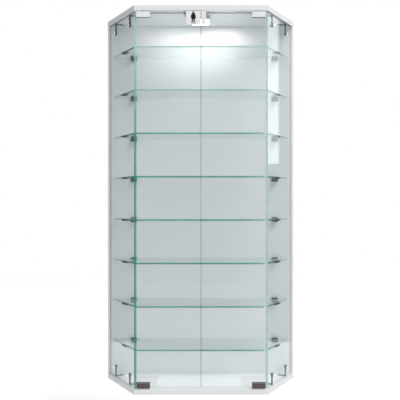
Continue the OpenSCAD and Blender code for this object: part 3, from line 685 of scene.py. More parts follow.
def make_boards(sizes):
    slanted_slab("bottom_board", "bottom_panel")
    slab = slanted_slab("top_board", "top_panel")
    low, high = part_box("cable_grommet")
    centre, far = middle((low, high)), Vector((0, 0, 1))
    hole_radius = (high.x - low.x) / 2 - sizes.flange
    cut(
        slab,
        block("slot", *grown(opening("cam_slot"), sizes.slot_gap)),
        rod("hole", centre - far, centre + far, hole_radius),
    )
    back = block("back_board", *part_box("back_panel"))
    recess = Vector((sizes.slot_gap, 0, 0))
    for word, plate in zip(SIDE_WORDS, solids_of("wall_hangers")):
        cut(
            back,
            block("recess", plate[0] - recess, plate[1] + recess + 2 * BACK),
            block("pocket", *grown(opening(word + "_hanger_pocket"), sizes.slot_gap)),
        )
    for part in ("top", "bottom", "back"):
        board = soften(bpy.data.objects[part + "_board"], sizes.board_round)
        dress(board, "white_board", "board_edging")
        thin = min(range(3), key=lambda axis: board.dimensions[axis])
        for face in board.data.polygons:
            face.material_index = int(abs(face.normal[thin]) < 0.9)
        belongs(board, "carcass", part + "_panel")


# Panes


# The top edges, under the top board, take the painted shade of shaded_edge.
EDGE_LOOKS = {
    "-x": "ground_edge",
    "+x": "ground_edge",
    "-y": "ground_edge",
    "+y": "faint_edge",
    "-z": "faint_edge",
    "+z": "shaded_edge",
}
GLASS_LOOKS = [
    "clear_glass", "ground_edge", "polished_arris", "shaded_edge", "faint_edge", "dusky_edge", "slanted_edge"
]


def edge_look(normal, across, looks):
    """The finish of a pane's face by its direction. Bevels of a green edge are bright with a painted
    highlight.
    """
    lean = abs(normal.dot(across))
    if lean > 0.95:
        return "clear_glass"
    way = normal - across * normal.dot(across)
    axis = max(range(3), key=lambda number: abs(way[number]))
    look = looks["-+"[way[axis] > 0] + "xyz"[axis]]
    return "polished_arris" if look == "ground_edge" and lean > 0.3 else look


def glaze(pane, across, arris, **changed):
    """Grinds a pane's edges and finishes its faces by their direction."""
    dress(bevel(pane, arris, 1, 50), *GLASS_LOOKS)
    for face in pane.data.polygons:
        look = edge_look(face.normal, Vector(across), {**EDGE_LOOKS, **changed})
        face.material_index = GLASS_LOOKS.index(look)
    return pane


def make_doors(sizes):
    right = block("right_door_pane", *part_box("right_door_glass"))
    front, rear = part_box("left_door_glass")
    left = block("left_door_pane", front, rear)
    width = Vector((sizes.notch_radius, 0, 0))
    start = Vector((LOCK.x, front.y - MM, LOCK.z))
    end = Vector((LOCK.x, rear.y + MM, LOCK.z))
    above = Vector((0, 0, rear.z - LOCK.z + MM))
    mouth = block("notch_mouth", start - width, end + width + above)
    cut(left, add(rod("notch", start, end, sizes.notch_radius), mouth))
    for pane, body, seam in ((left, "left_door", "+x"), (right, "right_door", "-x")):
        glaze(pane, (0, 1, 0), sizes.door_arris, **{seam: "dusky_edge"})
        belongs(pane, body, body + "_glass")


def make_side_panes(sizes):
    (pane_box,) = side_solids("right_side_glass")
    pane = block("side_pane", *pane_box)
    reach = Vector((10 * MM, 0, 0))
    for box in side_solids("side_glass_screws"):
        at = Vector((pane_box[0].x, *middle(box).yz))
        hole(pane, at - reach, at + reach, sizes.glass_hole_radius, 24)
    glaze(pane, (1, 0, 0), sizes.arris, **{"+y": "dusky_edge"})
    for side, word in zip(SIDES, SIDE_WORDS):
        copy = copied(pane, word + "_side_pane", mirrored(side) @ SIDE_PLACE)
        belongs(copy, "carcass", word + "_side_glass")
    bpy.data.objects.remove(pane)


def make_shelves(sizes):
    nodes = sorted(name for name in frame["nodes"] if name.startswith("shelf_") and name[6:].isdigit())
    slants = {"-x": "slanted_edge", "+x": "slanted_edge"}
    model = glaze(slanted_slab("glass_shelf", nodes[0]), (0, 0, 1), sizes.arris, **slants)
    start = middle(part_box(nodes[0]))
    for node in nodes:
        shift = Matrix.Translation(middle(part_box(node)) - start)
        belongs(copied(model, "glass_" + node, shift), "carcass", node)
    bpy.data.objects.remove(model)


# Door fittings


def lowest(node):
    """The box of a node's lowest solid."""
    return min(solids_of(node), key=lambda box: box[0].z)


def make_door_clamps(sizes):
    low, high = lowest("right_door_clamps")
    liner = lowest("right_door_liners")
    pin = middle(lowest("right_door_pins"))
    clamp = block("door_clamp", low, high)
    past = Vector((MM, 0, 0))
    cut(clamp, block("groove", liner[0] - past, liner[1] + past + UP))
    round_corners(clamp, 1.5 * MM, 1, lambda at: at.z > high.z - NEAR)
    hole(clamp, (pin.x, pin.y, low.z - MM), (pin.x, pin.y, liner[0].z + MM), sizes.rivet_hole)
    for box in solids_of("right_door_grub_screws"):
        if box[0].z < MID_Z:
            set_screw_hole(clamp, box, sizes)
    soften(clamp, 0.35 * MM)
    for side, word in zip(SIDES, SIDE_WORDS):
        for z, height in ((1, "upper"), (-1, "lower")):
            copy = copied(clamp, f"{word}_door_{height}_clamp", mirrored(side, z))
            install(copy, word + "_door", word + "_door_clamps", "chrome_metal")
    bpy.data.objects.remove(clamp)


def hook_plate(name, node, sizes):
    """A plate that hooks over the top edge of a door pane."""
    low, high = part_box(node)
    glass_low, glass_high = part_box("right_door_glass")
    rear_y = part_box("right_door_plate")[1].y
    bridge_low = (low.x, low.y, glass_high.z + sizes.bridge_gap)
    rear_low = (low.x, glass_high.y + sizes.liner, high.z - sizes.rear_plate)
    rear_top = (high.x, rear_y, high.z)
    plate = block(name, low, (high.x, glass_low.y, high.z))
    add(plate, block("bridge", bridge_low, rear_top), block("rear", rear_low, rear_top))
    return round_corners(plate, 2 * MM, 1, lambda at: at.z < low.z + NEAR)


def along_lock(name, start, end, radius, sides=40):
    """A rod on the lock's axis between two depths."""
    return rod(name, (LOCK.x, start, LOCK.z), (LOCK.x, end, LOCK.z), radius, sides)


def make_lock(sizes):
    for name, body, node, screws in (
        ("lock_body", "left_door", "lock_housing", "lock_grub_screws"),
        ("catch_plate", "right_door", "right_door_plate", "right_plate_screw"),
    ):
        plate = hook_plate(name, node, sizes)
        if node == "lock_housing":
            low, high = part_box(node)
            add(plate, along_lock("barrel", low.y + MM, high.y, sizes.barrel_radius))
            cut(plate, along_lock("bore", low.y - MM, high.y + MM, sizes.plug_radius + 0.05 * MM))
        for box in solids_of(screws):
            set_screw_hole(plate, box, sizes)
        install(soften(plate, 0.4 * MM), body, node, "chrome_metal")

    low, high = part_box("lock_plug")
    plug = along_lock("plug_core", low.y, low.y + sizes.plug_head, (high.x - low.x) / 2)
    soften(plug, 0.35 * MM)
    add(plug, along_lock("plug_body", low.y + sizes.plug_head / 2, high.y, sizes.plug_radius))
    keyway_end = high.y - sizes.cam_screw_depth
    keyway = Vector((1.1 * MM, 0, 3.6 * MM))
    start, end = Vector((LOCK.x, low.y - MM, LOCK.z)), Vector((LOCK.x, keyway_end, LOCK.z))
    cut(
        plug,
        block("keyway", start - keyway, end + keyway),
        along_lock("thread", keyway_end - MM, high.y + MM, CAM_SCREW_HOLE),
    )
    install(smooth(plug), "lock_core", "lock_plug", "chrome_metal")

    low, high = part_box("lock_cam")
    half = 4.5 * MM
    arm = block("cam_arm", (low.x, low.y, LOCK.z - half), (LOCK.x, high.y, LOCK.z + half))
    round_corners(arm, 2.5 * MM, 1, lambda at: at.x < low.x + NEAR)
    add(arm, along_lock("hub", low.y, high.y, high.x - LOCK.x))
    cut(arm, along_lock("hole", low.y - MM, high.y + MM, CAM_SCREW_HOLE))
    install(soften(arm, 0.25 * MM), "lock_core", "lock_cam", "zinc_steel")


# Key


def make_key_blade(sizes, pin):
    low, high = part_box("key_blade")
    blade = block("blade", (low.x, pin.y + 2.5 * MM, low.z), high)
    neck = block("neck", (low.x, pin.y, pin.z - KEY_EYE), (high.x, pin.y + 4 * MM, pin.z + KEY_EYE))
    add(blade, neck, rod("eye", (low.x, pin.y, pin.z), (high.x, pin.y, pin.z), KEY_EYE))
    reach = Vector((5 * MM, 0, 0))
    hole(blade, pin - reach, pin + reach, 0.85 * MM)
    first_cut, pitch = 6.5, 2.1
    for number, depth in enumerate(sizes.key_cuts):
        y = pin.y + (first_cut + pitch * number) * MM
        for side in SIDES:
            edge = pin.z + side * (high.z - pin.z)
            hole(blade, (low.x - MM, y, edge), (high.x + MM, y, edge), depth * MM, 4)
    groove_z = pin.z + 0.9 * MM
    for face in (low.x, high.x):
        hole(blade, (face, pin.y + 4.5 * MM, groove_z), (face, high.y + MM, groove_z), 0.45 * MM, 12)
    trim(blade, (pin.x, high.y, high.z - 1.2 * MM), (0, 1, 1))
    trim(blade, (pin.x, high.y, low.z + 1.2 * MM), (0, 1, -1))
    dress(blade, "chrome_metal", "black_plastic")
    for face in blade.data.polygons:
        face.material_index = int(face.center.y < pin.y + 2.4 * MM)
    belongs(blade, "key_shank", "key_blade")


def make_key_bow(sizes, pin):
    low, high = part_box("key_bow")
    wide = (high.x - low.x) / 2
    half = Vector((0, sizes.bow_sheet / 2, 0))
    neck_x, tip_x, waist_z = sizes.bow_neck / 2, sizes.bow_tip / 2, sizes.bow_waist
    tip = Vector((pin.x, pin.y, low.z + sizes.tip_radius))
    shoulder = tip.z - pin.z + sizes.tip_shoulder
    front, rear = pin.y - half.y, pin.y + half.y
    bow = block("grip", (low.x, front, pin.z + shoulder), (high.x, rear, pin.z))
    for side in SIDES:
        waist = Vector((pin.x + side * wide, pin.y, pin.z - waist_z))
        trim(bow, waist, (side * waist_z, 0, wide - neck_x))
        trim(bow, waist, (side * (-waist_z - shoulder), 0, -(wide - tip_x)))
    head = block("head", (pin.x - neck_x, front, pin.z - MM), (pin.x + neck_x, rear, high.z))
    add(bow, head, rod("tip", tip - half, tip + half, sizes.tip_radius, 48))
    hole(bow, tip - 2 * half, tip + 2 * half, sizes.tip_hole)
    soften(bow, 0.45 * MM)
    add(bow, rod("eye", (pin.x - 3 * MM, pin.y, pin.z), (pin.x + 3 * MM, pin.y, pin.z), KEY_EYE))
    slot_low = (pin.x - 1.3 * MM, pin.y - 4 * MM, pin.z - 3.2 * MM)
    slot_high = (pin.x + 1.3 * MM, pin.y + 4 * MM, high.z + MM)
    cut(bow, block("slot", slot_low, slot_high))
    reach = Vector((5 * MM, 0, 0))
    hole(bow, pin - reach, pin + reach, 0.82 * MM)
    install(smooth(bow), "key_grip", "key_bow", "black_plastic")


def make_key_ring(sizes):
    low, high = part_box("key_ring")
    wire = sizes.ring_wire
    coils = [
        primitive(
            "coil",
            "torus",
            major_segments=64,
            minor_segments=12,
            major_radius=(high.z - low.z) / 2 - wire,
            minor_radius=wire * 0.52,
            location=(0, 0, side * wire * 0.46),
        )
        for side in SIDES
    ]
    pick(*coils)
    bpy.ops.object.join()
    ring = coils[0]
    ring.name = "split_ring"
    bpy.ops.object.shade_smooth()
    turn = Matrix.Rotation(sizes.ring_turn, 4, "Z") @ facing((0, -1, 0))
    ring.data.transform(Matrix.Translation(middle((low, high))) @ turn)
    install(ring, "key_loop", "key_ring", "black_steel")


# Fittings of the carcass


def make_brackets(sizes):
    box = min(side_solids("side_brackets"), key=lambda box: (box[0].z, box[0].y))
    corner = at_share(box, (1, 0.5, 0))
    foot, width, leg = box[1] - box[0]
    half, sheet = width / 2, sizes.bracket_sheet
    bracket = block("side_bracket", (-sheet, -half, 0), (0, half, leg))
    add(bracket, block("foot", (-foot, -half, 0), (0, half, sheet)))
    round_corners(bracket, 2.6 * MM, 1, lambda at: max(abs(at.x), abs(at.z)) < NEAR)
    round_corners(bracket, 0.8 * MM, 1, lambda at: abs(at.x + sheet) + abs(at.z - sheet) < NEAR)
    round_corners(bracket, 3.5 * MM, 0, lambda at: at.z > leg - NEAR)
    round_corners(bracket, 3.5 * MM, 2, lambda at: at.x < NEAR - foot)
    for node, axis, radius in (
        ("side_glass_screws", 0, sizes.glass_screw_hole),
        ("side_bracket_screws", 2, sizes.foot_screw_hole),
    ):
        reach = Vector((0, 0, 0))
        reach[axis] = 10 * MM
        for other in side_solids(node):
            at = middle(other) - corner
            if abs(at.y) < half and abs(at.z) < 2 * leg:
                at[axis] = 0
                hole(bracket, at - reach, at + reach, radius)
    soften(bracket, 0.25 * MM)
    repeat(bracket, side_spots("side_brackets", (1, 0.5, 0)), "carcass", "side_brackets", "dark_nickel")

    cap = domed("cap_screw", 6 * MM, 2.5 * MM, 1.9 * MM)
    add(cap, soften(rod("shank", (0, 0, -14.3 * MM), (0, 0, -MM), 2 * MM, 24), 0.4 * MM))
    shifts = [shift @ facing((1, 0, 0)) for shift in side_spots("side_glass_screws", (1, 0.5, 0.5))]
    repeat(smooth(cap), shifts, "carcass", "side_glass_screws", "chrome_metal")

    nut = rod("glass_nut", (-1.5 * MM, 0, 0), (1.5 * MM, 0, 0), 4 * MM, 6)
    hole(nut, (-5 * MM, 0, 0), (5 * MM, 0, 0), 2.02 * MM)
    shifts = side_spots("side_glass_nuts", (0.5, 0.5, 0.5))
    repeat(soften(nut, 0.35 * MM), shifts, "carcass", "side_glass_nuts", "zinc_steel")


def make_shelf_supports():
    low, high = solids_of("rear_shelf_clamps")[0]
    half, length, height = (high.x - low.x) / 2, high.y - low.y, high.z - low.z
    jaw_top, back, lip = 8 * MM, 2 * MM, 1.5 * MM
    clamp = rod("shelf_clamp", (0, -length, jaw_top), (0, 0, jaw_top), half, 64)
    trim(clamp, (0, 0, jaw_top), (0, 0, 1))
    trim(clamp, (0, 0, 0), (0, 0, -1))
    add(
        clamp,
        block("back_plate", (-half, -back, 0.5 * MM), (half, 0, height)),
        block("lip", (-half, -back - 8 * MM, height - lip), (half, 0, height)),
    )
    round_corners(clamp, 2.5 * MM, 2, lambda at: at.y < -back - 7 * MM and at.z > jaw_top + MM)
    screw_z = 4 * MM
    hole(clamp, (0, -length - MM, screw_z), (0, -length + 2 * MM, screw_z), 2.65 * MM)
    hole(clamp, (0, -length, screw_z), (0, MM, screw_z), 1.8 * MM)
    shifts = spots("rear_shelf_clamps", (0.5, 1, 0))
    repeat(soften(clamp, 0.4 * MM), shifts, "carcass", "rear_shelf_clamps", "dark_nickel")

    box = side_solids("side_shelf_rests")[0]
    reach, width, height = box[1] - box[0]
    half, sheet = width / 2, 1.5 * MM
    rest = block("shelf_rest", (-sheet, -half, 0), (0, half, height))
    add(rest, block("ledge", (-reach, -half, 0), (0, half, sheet)))
    round_corners(rest, 4 * MM, 2, lambda at: at.x < NEAR - reach)
    round_corners(rest, 2 * MM, 0, lambda at: at.z > height - NEAR)
    shifts = side_spots("side_shelf_rests", (1, 0.5, 0), [mirrored(side) for side in SIDES])
    repeat(soften(rest, 0.3 * MM), shifts, "carcass", "side_shelf_rests", "black_plastic")


def make_catches():
    low, high = solids_of("catch_housings")[0]
    top = Vector((middle((low, high)).x, low.y, high.z))
    near, far = low - top, high - top
    catch = block("catch", near, far)
    round_corners(catch, 2 * MM, 0, lambda at: at.z < near.z + NEAR)
    magnet_z, screw_y = -7 * MM, far.y - 7 * MM
    hole(catch, (0, -MM, magnet_z), (0, 7.9 * MM, magnet_z), 2.22 * MM, 40)
    hole(catch, (0, screw_y, near.z - MM), (0, screw_y, near.z + 2 * MM), 3.02 * MM)
    hole(catch, (0, screw_y, near.z), (0, screw_y, MM), 1.52 * MM)
    shifts = spots("catch_housings", (0.5, 0, 1))
    repeat(soften(catch, 0.5 * MM), shifts, "carcass", "catch_housings", "white_plastic")


def make_lamp(sizes):
    low = Vector(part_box("lamp_housing")[0])
    wall, corner = sizes.lamp_wall, sizes.lamp_corner
    high = Vector((-low.x, low.y + sizes.lamp_depth, TOP[0].z))
    shell = round_corners(block("lamp_shell", low, high), corner, 2, segments=8)
    soften(shell, 0.8 * MM, segments=3)
    inset = Vector((wall, wall, 0))
    hollow = block("hollow", low + inset - UP, high - inset - Vector((0, 0, wall)))
    cut(shell, round_corners(hollow, corner - wall, 2, segments=8))
    mid = (low + high) / 2
    reach = (high - low) / 2 - inset - Vector((corner, corner, 0))
    post_height, post_radius, screw_x = 3.8 * MM, 3 * MM, 14 * MM
    for x in SIDES:
        for y in SIDES:
            post = Vector((mid.x + x * reach.x, mid.y + y * reach.y, high.z - wall / 2))
            add(shell, rod("post", post - Vector((0, 0, wall / 2 + post_height)), post, post_radius, 24))
        screw = Vector((x * screw_x, mid.y, high.z))
        hole(shell, screw - 3 * UP, screw + UP, 1.52 * MM)
    gland = Vector((0, high.y - wall / 2, mid.z))
    end = gland + Vector((0, wall / 2 + 6 * MM, 0))
    add(shell, soften(rod("gland", gland, end, 3.5 * MM), 0.5 * MM))
    hole(shell, gland - 2 * BACK, end + BACK, 2 * MM)
    install(smooth(shell), "carcass", "lamp_housing", "lamp_grey")

    cover = block("lamp_window", *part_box("lamp_diffuser"))
    round_corners(cover, corner - wall, 2, segments=8)
    install(soften(cover, 0.4 * MM, segments=3), "carcass", "lamp_diffuser", "lamp_cover")


def make_hangers():
    low, high = solids_of("wall_hangers")[0]
    centre = middle((low, high))
    shift = Vector((centre.x, 0, 0))
    plate = round_corners(block("hanger_plate", low - shift, high - shift), 3 * MM, 1)
    entry, top = centre.z - 6 * MM, centre.z + 6 * MM
    entry_radius, slot_radius = 5 * MM, 2.5 * MM
    shank_radius, head_radius, head_height = 1.78 * MM, 3.55 * MM, 1.4 * MM
    front, rear = low.y - MM, high.y + MM
    hole(plate, (0, front, entry), (0, rear, entry), entry_radius)
    cut(plate, block("slot", (-slot_radius, front, entry), (slot_radius, rear, top)))
    hole(plate, (0, front, top), (0, rear, top), slot_radius)
    for side in SIDES:
        z = centre.z + side * 23 * MM
        hole(plate, (0, front, z), (0, rear, z), shank_radius)
        hole(plate, (0, high.y - head_height, z), (0, rear, z), head_radius)
    shifts = [Matrix.Translation(side * shift) for side in SIDES]
    repeat(soften(plate, 0.25 * MM), shifts, "carcass", "wall_hangers", "zinc_steel")


def make_caps_and_grommet():
    cap = smooth(domed("cover_cap", 7 * MM, MM, 0.6 * MM))
    upper = [spot for spot in spots("screw_caps", (0.5, 0.5, 1)) if spot.translation.z > MID_Z]
    shifts = upper + [mirrored(z=-1) @ spot for spot in upper]
    repeat(cap, shifts, "carcass", "screw_caps", "white_plastic")

    low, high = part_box("cable_grommet")
    base, top = at_share((low, high), (0.5, 0.5, 0)), at_share((low, high), (0.5, 0.5, 1))
    grommet = rod("cord_grommet", base, base + UP, (high.x - low.x) / 2, 48)
    soften(grommet, 0.4 * MM)
    add(grommet, rod("sleeve", base, top, 6 * MM, 48))
    hole(grommet, base - UP, top + UP, 4 * MM)
    install(smooth(grommet), "carcass", "cable_grommet", "white_plastic")


# Carried-over nodes


NODE_FINISHES = {
    "zinc_steel": ("panel_screws", "lamp_screws", "left_door_pins", "right_door_pins"),
    "chrome_metal": ("key_pin",),
    "dark_rubber": ("left_door_liners", "right_door_liners", "lock_liner"),
    "clear_plastic": ("side_glass_washers", "shelf_clamp_pads", "side_rest_pads"),
    "white_plastic": ("hinge_bushes",),
    "magnet": ("catch_magnets",),
    "dowel_wood": ("panel_dowels",),
    "led_board": ("lamp_led_board",),
    "led_chip": ("lamp_leds",),
}


def finish_nodes():
    """Gives each CAD node that still shows its material."""
    for name, nodes in NODE_FINISHES.items():
        for node in nodes:
            for slot in frame["nodes"][node].material_slots:
                slot.material = finish(name)


# Studio


def area_lamp(name, place, aim, size, power):
    """A soft lamp, which mirrors don't show."""
    data = bpy.data.lights.new(name, "AREA")
    data.shape = "RECTANGLE"
    data.size, data.size_y = size
    data.energy = power
    lamp = bpy.data.objects.new(name, data)
    lamp.location = place
    lamp.rotation_euler = (Vector(aim) - Vector(place)).to_track_quat("-Z", "Y").to_euler()
    lamp.visible_camera = False
    lamp.visible_glossy = False
    bpy.context.scene.collection.objects.link(lamp)
    return lamp


def card(name, place, aim, size, tone):
    """A card that only mirrors and panes show, in one plain tone."""
    turn = (Vector(aim) - Vector(place)).to_track_quat("Z", "Y").to_euler()
    sheet = primitive(name, "plane", (*size, 1), size=1, location=place, rotation=turn)
    look = Finish(name)
    glow = look.node("ShaderNodeEmission", None, {"Color": (*tone, 1), "Strength": 1.0})
    sheet.data.materials.append(look.done(glow))
    for kind in ("camera", "diffuse", "shadow", "transmission", "volume_scatter"):
        setattr(sheet, "visible_" + kind, False)


def ray(look, *names):
    """1 for rays of those kinds and 0 for the others."""
    kinds = [look.node("ShaderNodeLightPath", out=f"Is {name} Ray") for name in names]
    return sum(kinds[1:], kinds[0])


def floor_finish():
    """White to the eye but for the shadows, and a pale diffuse floor for the light."""
    look = Finish("studio_floor")
    pale = look.node("ShaderNodeBsdfDiffuse", None, {"Color": (0.8, 0.8, 0.8, 1)})
    glow = look.node("ShaderNodeEmission", None, {"Color": (1, 1, 1, 1), "Strength": 0.55})
    both = look.node("ShaderNodeAddShader", None, {0: pale, 1: glow})
    return look.done(look.blend(ray(look, "Camera", "Transmission", "Glossy"), pale, both))


def studio_world(studio):
    """White behind the object, and an even light of its own strength."""
    look = Finish("studio", "World")
    even, mirrored_back, back = (
        look.node("ShaderNodeBackground", None, {"Color": (*tone, 1), "Strength": strength})
        for tone, strength in (
            (studio.ambient_tint, studio.ambient),
            ((1, 1, 1), studio.mirror_back),
            ((1, 1, 1), 1.0),
        )
    )
    carried = look.blend(ray(look, "Glossy"), even, mirrored_back)
    return look.done(look.blend(ray(look, "Camera", "Transmission"), carried, back))


def make_studio(studio):
    scene = bpy.context.scene
    scene.view_settings.view_transform = "Standard"
    scene.world = studio_world(studio)
    floor_z = BOTTOM[0].z - studio.floor_drop
    floor = primitive("studio_floor", "plane", size=9, location=(0, 0, floor_z))
    floor.data.materials.append(floor_finish())
    centre = (0, TOP[0].y / 2, MID_Z)
    area_lamp("key_light", (2.0, -2.9, 0.3), centre, (1.6, 1.8), studio.key_power)
    area_lamp("high_light", (2.4, -2.8, 5.0), centre, (2.6, 2.6), studio.high_power)
    area_lamp("low_light", (-0.9, -1.7, floor_z + 0.101), (0, -0.1, 0), (1.2, 0.6), studio.low_power)
    below = middle(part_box("lamp_diffuser")) - 3 * UP
    below.x = -0.008
    inner_aim = below + Vector((-0.03, 0.15, -1))
    area_lamp("inner_light", below, inner_aim, (0.272, 0.05), studio.inner_power)
    rising = Vector((-0.05, -0.095, TOP[0].z - 0.085))
    area_lamp("ceiling_glow", rising, rising + UP, (0.36, 0.12), studio.ceiling_power)
    falling = Vector((0, -0.1, BOTTOM[1].z + 0.095))
    glow = area_lamp("board_glow", falling, falling - UP, (0.46, 0.13), studio.board_power)
    glow.data.spread = math.radians(80)
    strip_aim = (0.25, -0.1, 0.25)
    strip = area_lamp("strip_light", (1.45, 0.624, 0.25), strip_aim, (0.09, 1.1), studio.strip_power)
    strip.visible_glossy = True
    for side, word, tone in zip(SIDES, SIDE_WORDS, (studio.left_card, studio.right_card)):
        for reach, y, size in (("far", -1.19, (0.16, 0.26)), ("near", -0.62, (0.24, 0.3))):
            place = Vector((side * 0.285, y, floor_z + MM))
            card(f"{word}_{reach}_floor_card", place, place + UP, size, studio.dark_card)
        card(word + "_card", (side * 1.8, 0.78, MID_Z), (side * 0.25, -0.1, MID_Z), (1.3, 3.4), tone)
    data = bpy.data.cameras.new("camera")
    data.sensor_width = 36
    data.lens = studio.lens
    data.shift_x = studio.shift
    camera = bpy.data.objects.new("camera", data)
    camera.location = (studio.aside, TOP[0].y - studio.distance, MID_Z)
    camera.rotation_euler = (math.pi / 2, 0, 0)
    scene.collection.objects.link(camera)
    scene.camera = camera


# Settings


def length(name, description, size_mm):
    default = size_mm * MM
    return bpy.props.FloatProperty(name=name, description=description, default=default, unit="LENGTH")


def number(name, description, default, unit="NONE"):
    return bpy.props.FloatProperty(name=name, description=description, default=default, unit=unit)


def power(name, description, default):
    return number(name, description, default, "POWER")


def colour(name, description, *default):
    return bpy.props.FloatVectorProperty(
        name=name, description=description, default=default, subtype="COLOR", min=0, max=1
    )


class CabinetSizes(bpy.types.PropertyGroup):
    """Small sizes of the finished surfaces."""

    board_round: length("Board rounding", "Radius on the edges of the boards", 0.6)
    slot_gap: length("Recess gap", "Gap around what lies in a recess of a board", 0.4)
    flange: length("Grommet flange", "Width of the grommet's flange outside its hole", 2)
    arris: length("Glass bevel", "Width of the ground bevels on glass edges", 0.9)
    door_arris: length("Door bevel", "Width of the ground bevels on the doors' edges", 1.3)
    notch_radius: length("Lock notch", "Radius of the notch for the lock barrel", 8.05)
    glass_hole_radius: length("Glass hole", "Radius of the drilled holes in the side panes", 3)
    rivet_hole: length("Rivet hole", "Radius of the pivot's hole in a door clamp", 2.52)
    grub_hole: length("Set screw hole", "Radius of the holes for set screws", 2.02)
    liner: length("Liner", "Thickness of the plastic liners on glass", 0.5)
    bridge_gap: length("Bridge gap", "From the top of a door pane to the plate above it", 0.4)
    rear_plate: length("Rear plate", "Height of the plates behind the glass", 28)
    barrel_radius: length("Barrel", "Radius of the lock's barrel", 7.55)
    plug_radius: length("Plug", "Radius of the lock's plug", 5)
    plug_head: length("Plug head", "Thickness of the plug's head", 1.2)
    cam_screw_depth: length("Cam thread", "Depth of the thread in the rear of the plug", 8)
    ring_turn: number("Ring turn", "Turn of the key ring", math.radians(35), "ROTATION")
    key_cuts: bpy.props.FloatVectorProperty(
        name="Key cuts", description="Depths of the cuts in the blade, in millimetres",
        default=(0.9, 0.5, 1.1, 0.7, 0.4, 0.9), size=6
    )
    bow_sheet: length("Bow thickness", "Thickness of the key's bow", 2)
    bow_neck: length("Bow neck", "Width of the bow at its hinge", 6)
    bow_waist: length("Bow widest", "From the hinge down to the widest part of the bow", 11)
    bow_tip: length("Bow tip", "Width of the bow where its round tip begins", 7.6)
    tip_shoulder: length("Tip shoulder", "From the middle of the tip up to that place", 2.9)
    tip_radius: length("Tip radius", "Radius of the bow's tip", 4.8)
    tip_hole: length("Ring hole", "Radius of the bow's hole for the ring", 3.2)
    ring_wire: length("Ring wire", "Radius of the key ring's section", 0.8)
    bracket_sheet: length("Bracket sheet", "Thickness of the side brackets", 2)
    glass_screw_hole: length("Bracket hole", "Radius of a bracket's hole for the glass screw", 2.05)
    foot_screw_hole: length("Foot hole", "Radius of a bracket's holes for the foot screws", 1.77)
    lamp_wall: length("Lamp wall", "Thickness of the lamp housing", 1.6)
    lamp_corner: length("Lamp corner", "Radius of the lamp housing's corners", 8)
    lamp_depth: length("Lamp depth", "Depth of the lamp housing without its gland", 65)


class CabinetColours(bpy.types.PropertyGroup):
    """Colours of the finishes, as linear light."""

    board: colour("Board", "White melamine face", 0.86, 0.868, 0.876)
    pane: colour("Pane", "What one face of a clear pane lets through", 0.978, 0.988, 0.989)
    edge_deep: colour("Glass edge", "Flat of a ground glass edge", 0.02, 0.285, 0.24)
    # edge_dark is painted shade on the panes' top edges under the top board; the door seams, the side panes'
    # rear ends and the shelves' slanted edges take it too.
    edge_dark: colour("Shaded edge", "Glass edge against a board", 0.03, 0.07, 0.065)
    # edge_pale is the painted light on glass edges near the lamp and on the right; the faint rear and bottom
    # edges take it too.
    edge_pale: colour("Pale edge", "Glass edges near the lamp", 0.62, 0.84, 0.81)
    dark_nickel: colour("Dark nickel", "Plate of the shelf clamps and brackets", 0.045, 0.05, 0.054)
    chrome: colour("Chrome", "Polished chrome plate", 0.80, 0.81, 0.82)
    zinc: colour("Zinc", "Zinc-plated steel", 0.62, 0.64, 0.66)
    black_steel: colour("Black steel", "Blackened steel", 0.045, 0.045, 0.05)
    magnet: colour("Magnet", "Magnets of the catches", 0.372, 0.384, 0.396)
    white_plastic: colour("White plastic", "Moulded white plastic", 0.80, 0.80, 0.79)
    black_plastic: colour("Black plastic", "Key grip and shelf rests", 0.004, 0.004, 0.005)
    rubber: colour("Rubber", "Liners of clamps and lock", 0.008, 0.008, 0.01)
    lamp_grey: colour("Lamp grey", "Lamp housing", 0.62, 0.63, 0.64)
    soft_clear: colour("Clear plastic", "Washers and pads", 0.75, 0.80, 0.78)
    lamp_light: colour("Lamp light", "Light of the lamp's cover", 0.96, 0.99, 1.0)
    led: colour("Chips", "Light-emitting chips", 1.0, 0.93, 0.75)
    beech: colour("Beech", "Dowels", 0.62, 0.42, 0.24)


class StudioSettings(bpy.types.PropertyGroup):
    """Camera, lamps and floor."""

    distance: length("Camera distance", "From the camera to the doors' plane", 1734)
    lens: number("Lens", "Focal length in millimetres", 51.1)
    aside: length("Camera aside", "From the middle of the cabinet to the camera", -13.5)
    shift: number("Shift", "Sideways shift of the lens, as a share of the picture", 0.0085)
    floor_drop: length("Floor", "Height of the cabinet above the floor", 300)
    ambient: number("Ambient", "Even light from all around", 0.4)
    ambient_tint: colour("Ambient tint", "Colour of the even light", 0.97, 0.985, 1.0)
    mirror_back: number("Mirrored back", "Brightness of the surroundings in mirrors", 1.0)
    key_power: power("Key", "Power of the main lamp", 8.0)
    high_power: power("High", "Power of the lamp above", 290.0)
    low_power: power("Low", "Power of the lamp near the floor", 3.0)
    ceiling_power: power("Ceiling glow", "Light thrown back up under the top board", 0.026)
    board_power: power("Board glow", "Light that falls on the bottom board", 0.075)
    inner_power: power("Inner", "Light that the cabinet's own lamp gives", 0.36)
    strip_power: power("Strip", "Power of the tall lamp on the right", 0.6)
    dark_card: colour("Dark cards", "Cards on the floor, seen in the clamps", 0.13, 0.10, 0.095)
    left_card: colour("Left card", "Card seen in the left pane", 0.34, 0.37, 0.38)
    right_card: colour("Right card", "Card seen in the right pane", 0.40, 0.42, 0.43)


# Operators


class CabinetOperator:
    bl_options = {"REGISTER", "UNDO"}


class CABINET_OT_studio(CabinetOperator, bpy.types.Operator):
    """Set up the camera, lamps, world and floor"""

    bl_idname = "cabinet.studio"
    bl_label = "Studio"

    def execute(self, context):
        make_studio(context.scene.cabinet_studio)
        return {"FINISHED"}


class CABINET_OT_boards(CabinetOperator, bpy.types.Operator):
    """Make the top, bottom and back boards with their edging"""

    bl_idname = "cabinet.boards"
    bl_label = "Boards"

    def execute(self, context):
        make_boards(context.scene.cabinet_sizes)
        return {"FINISHED"}


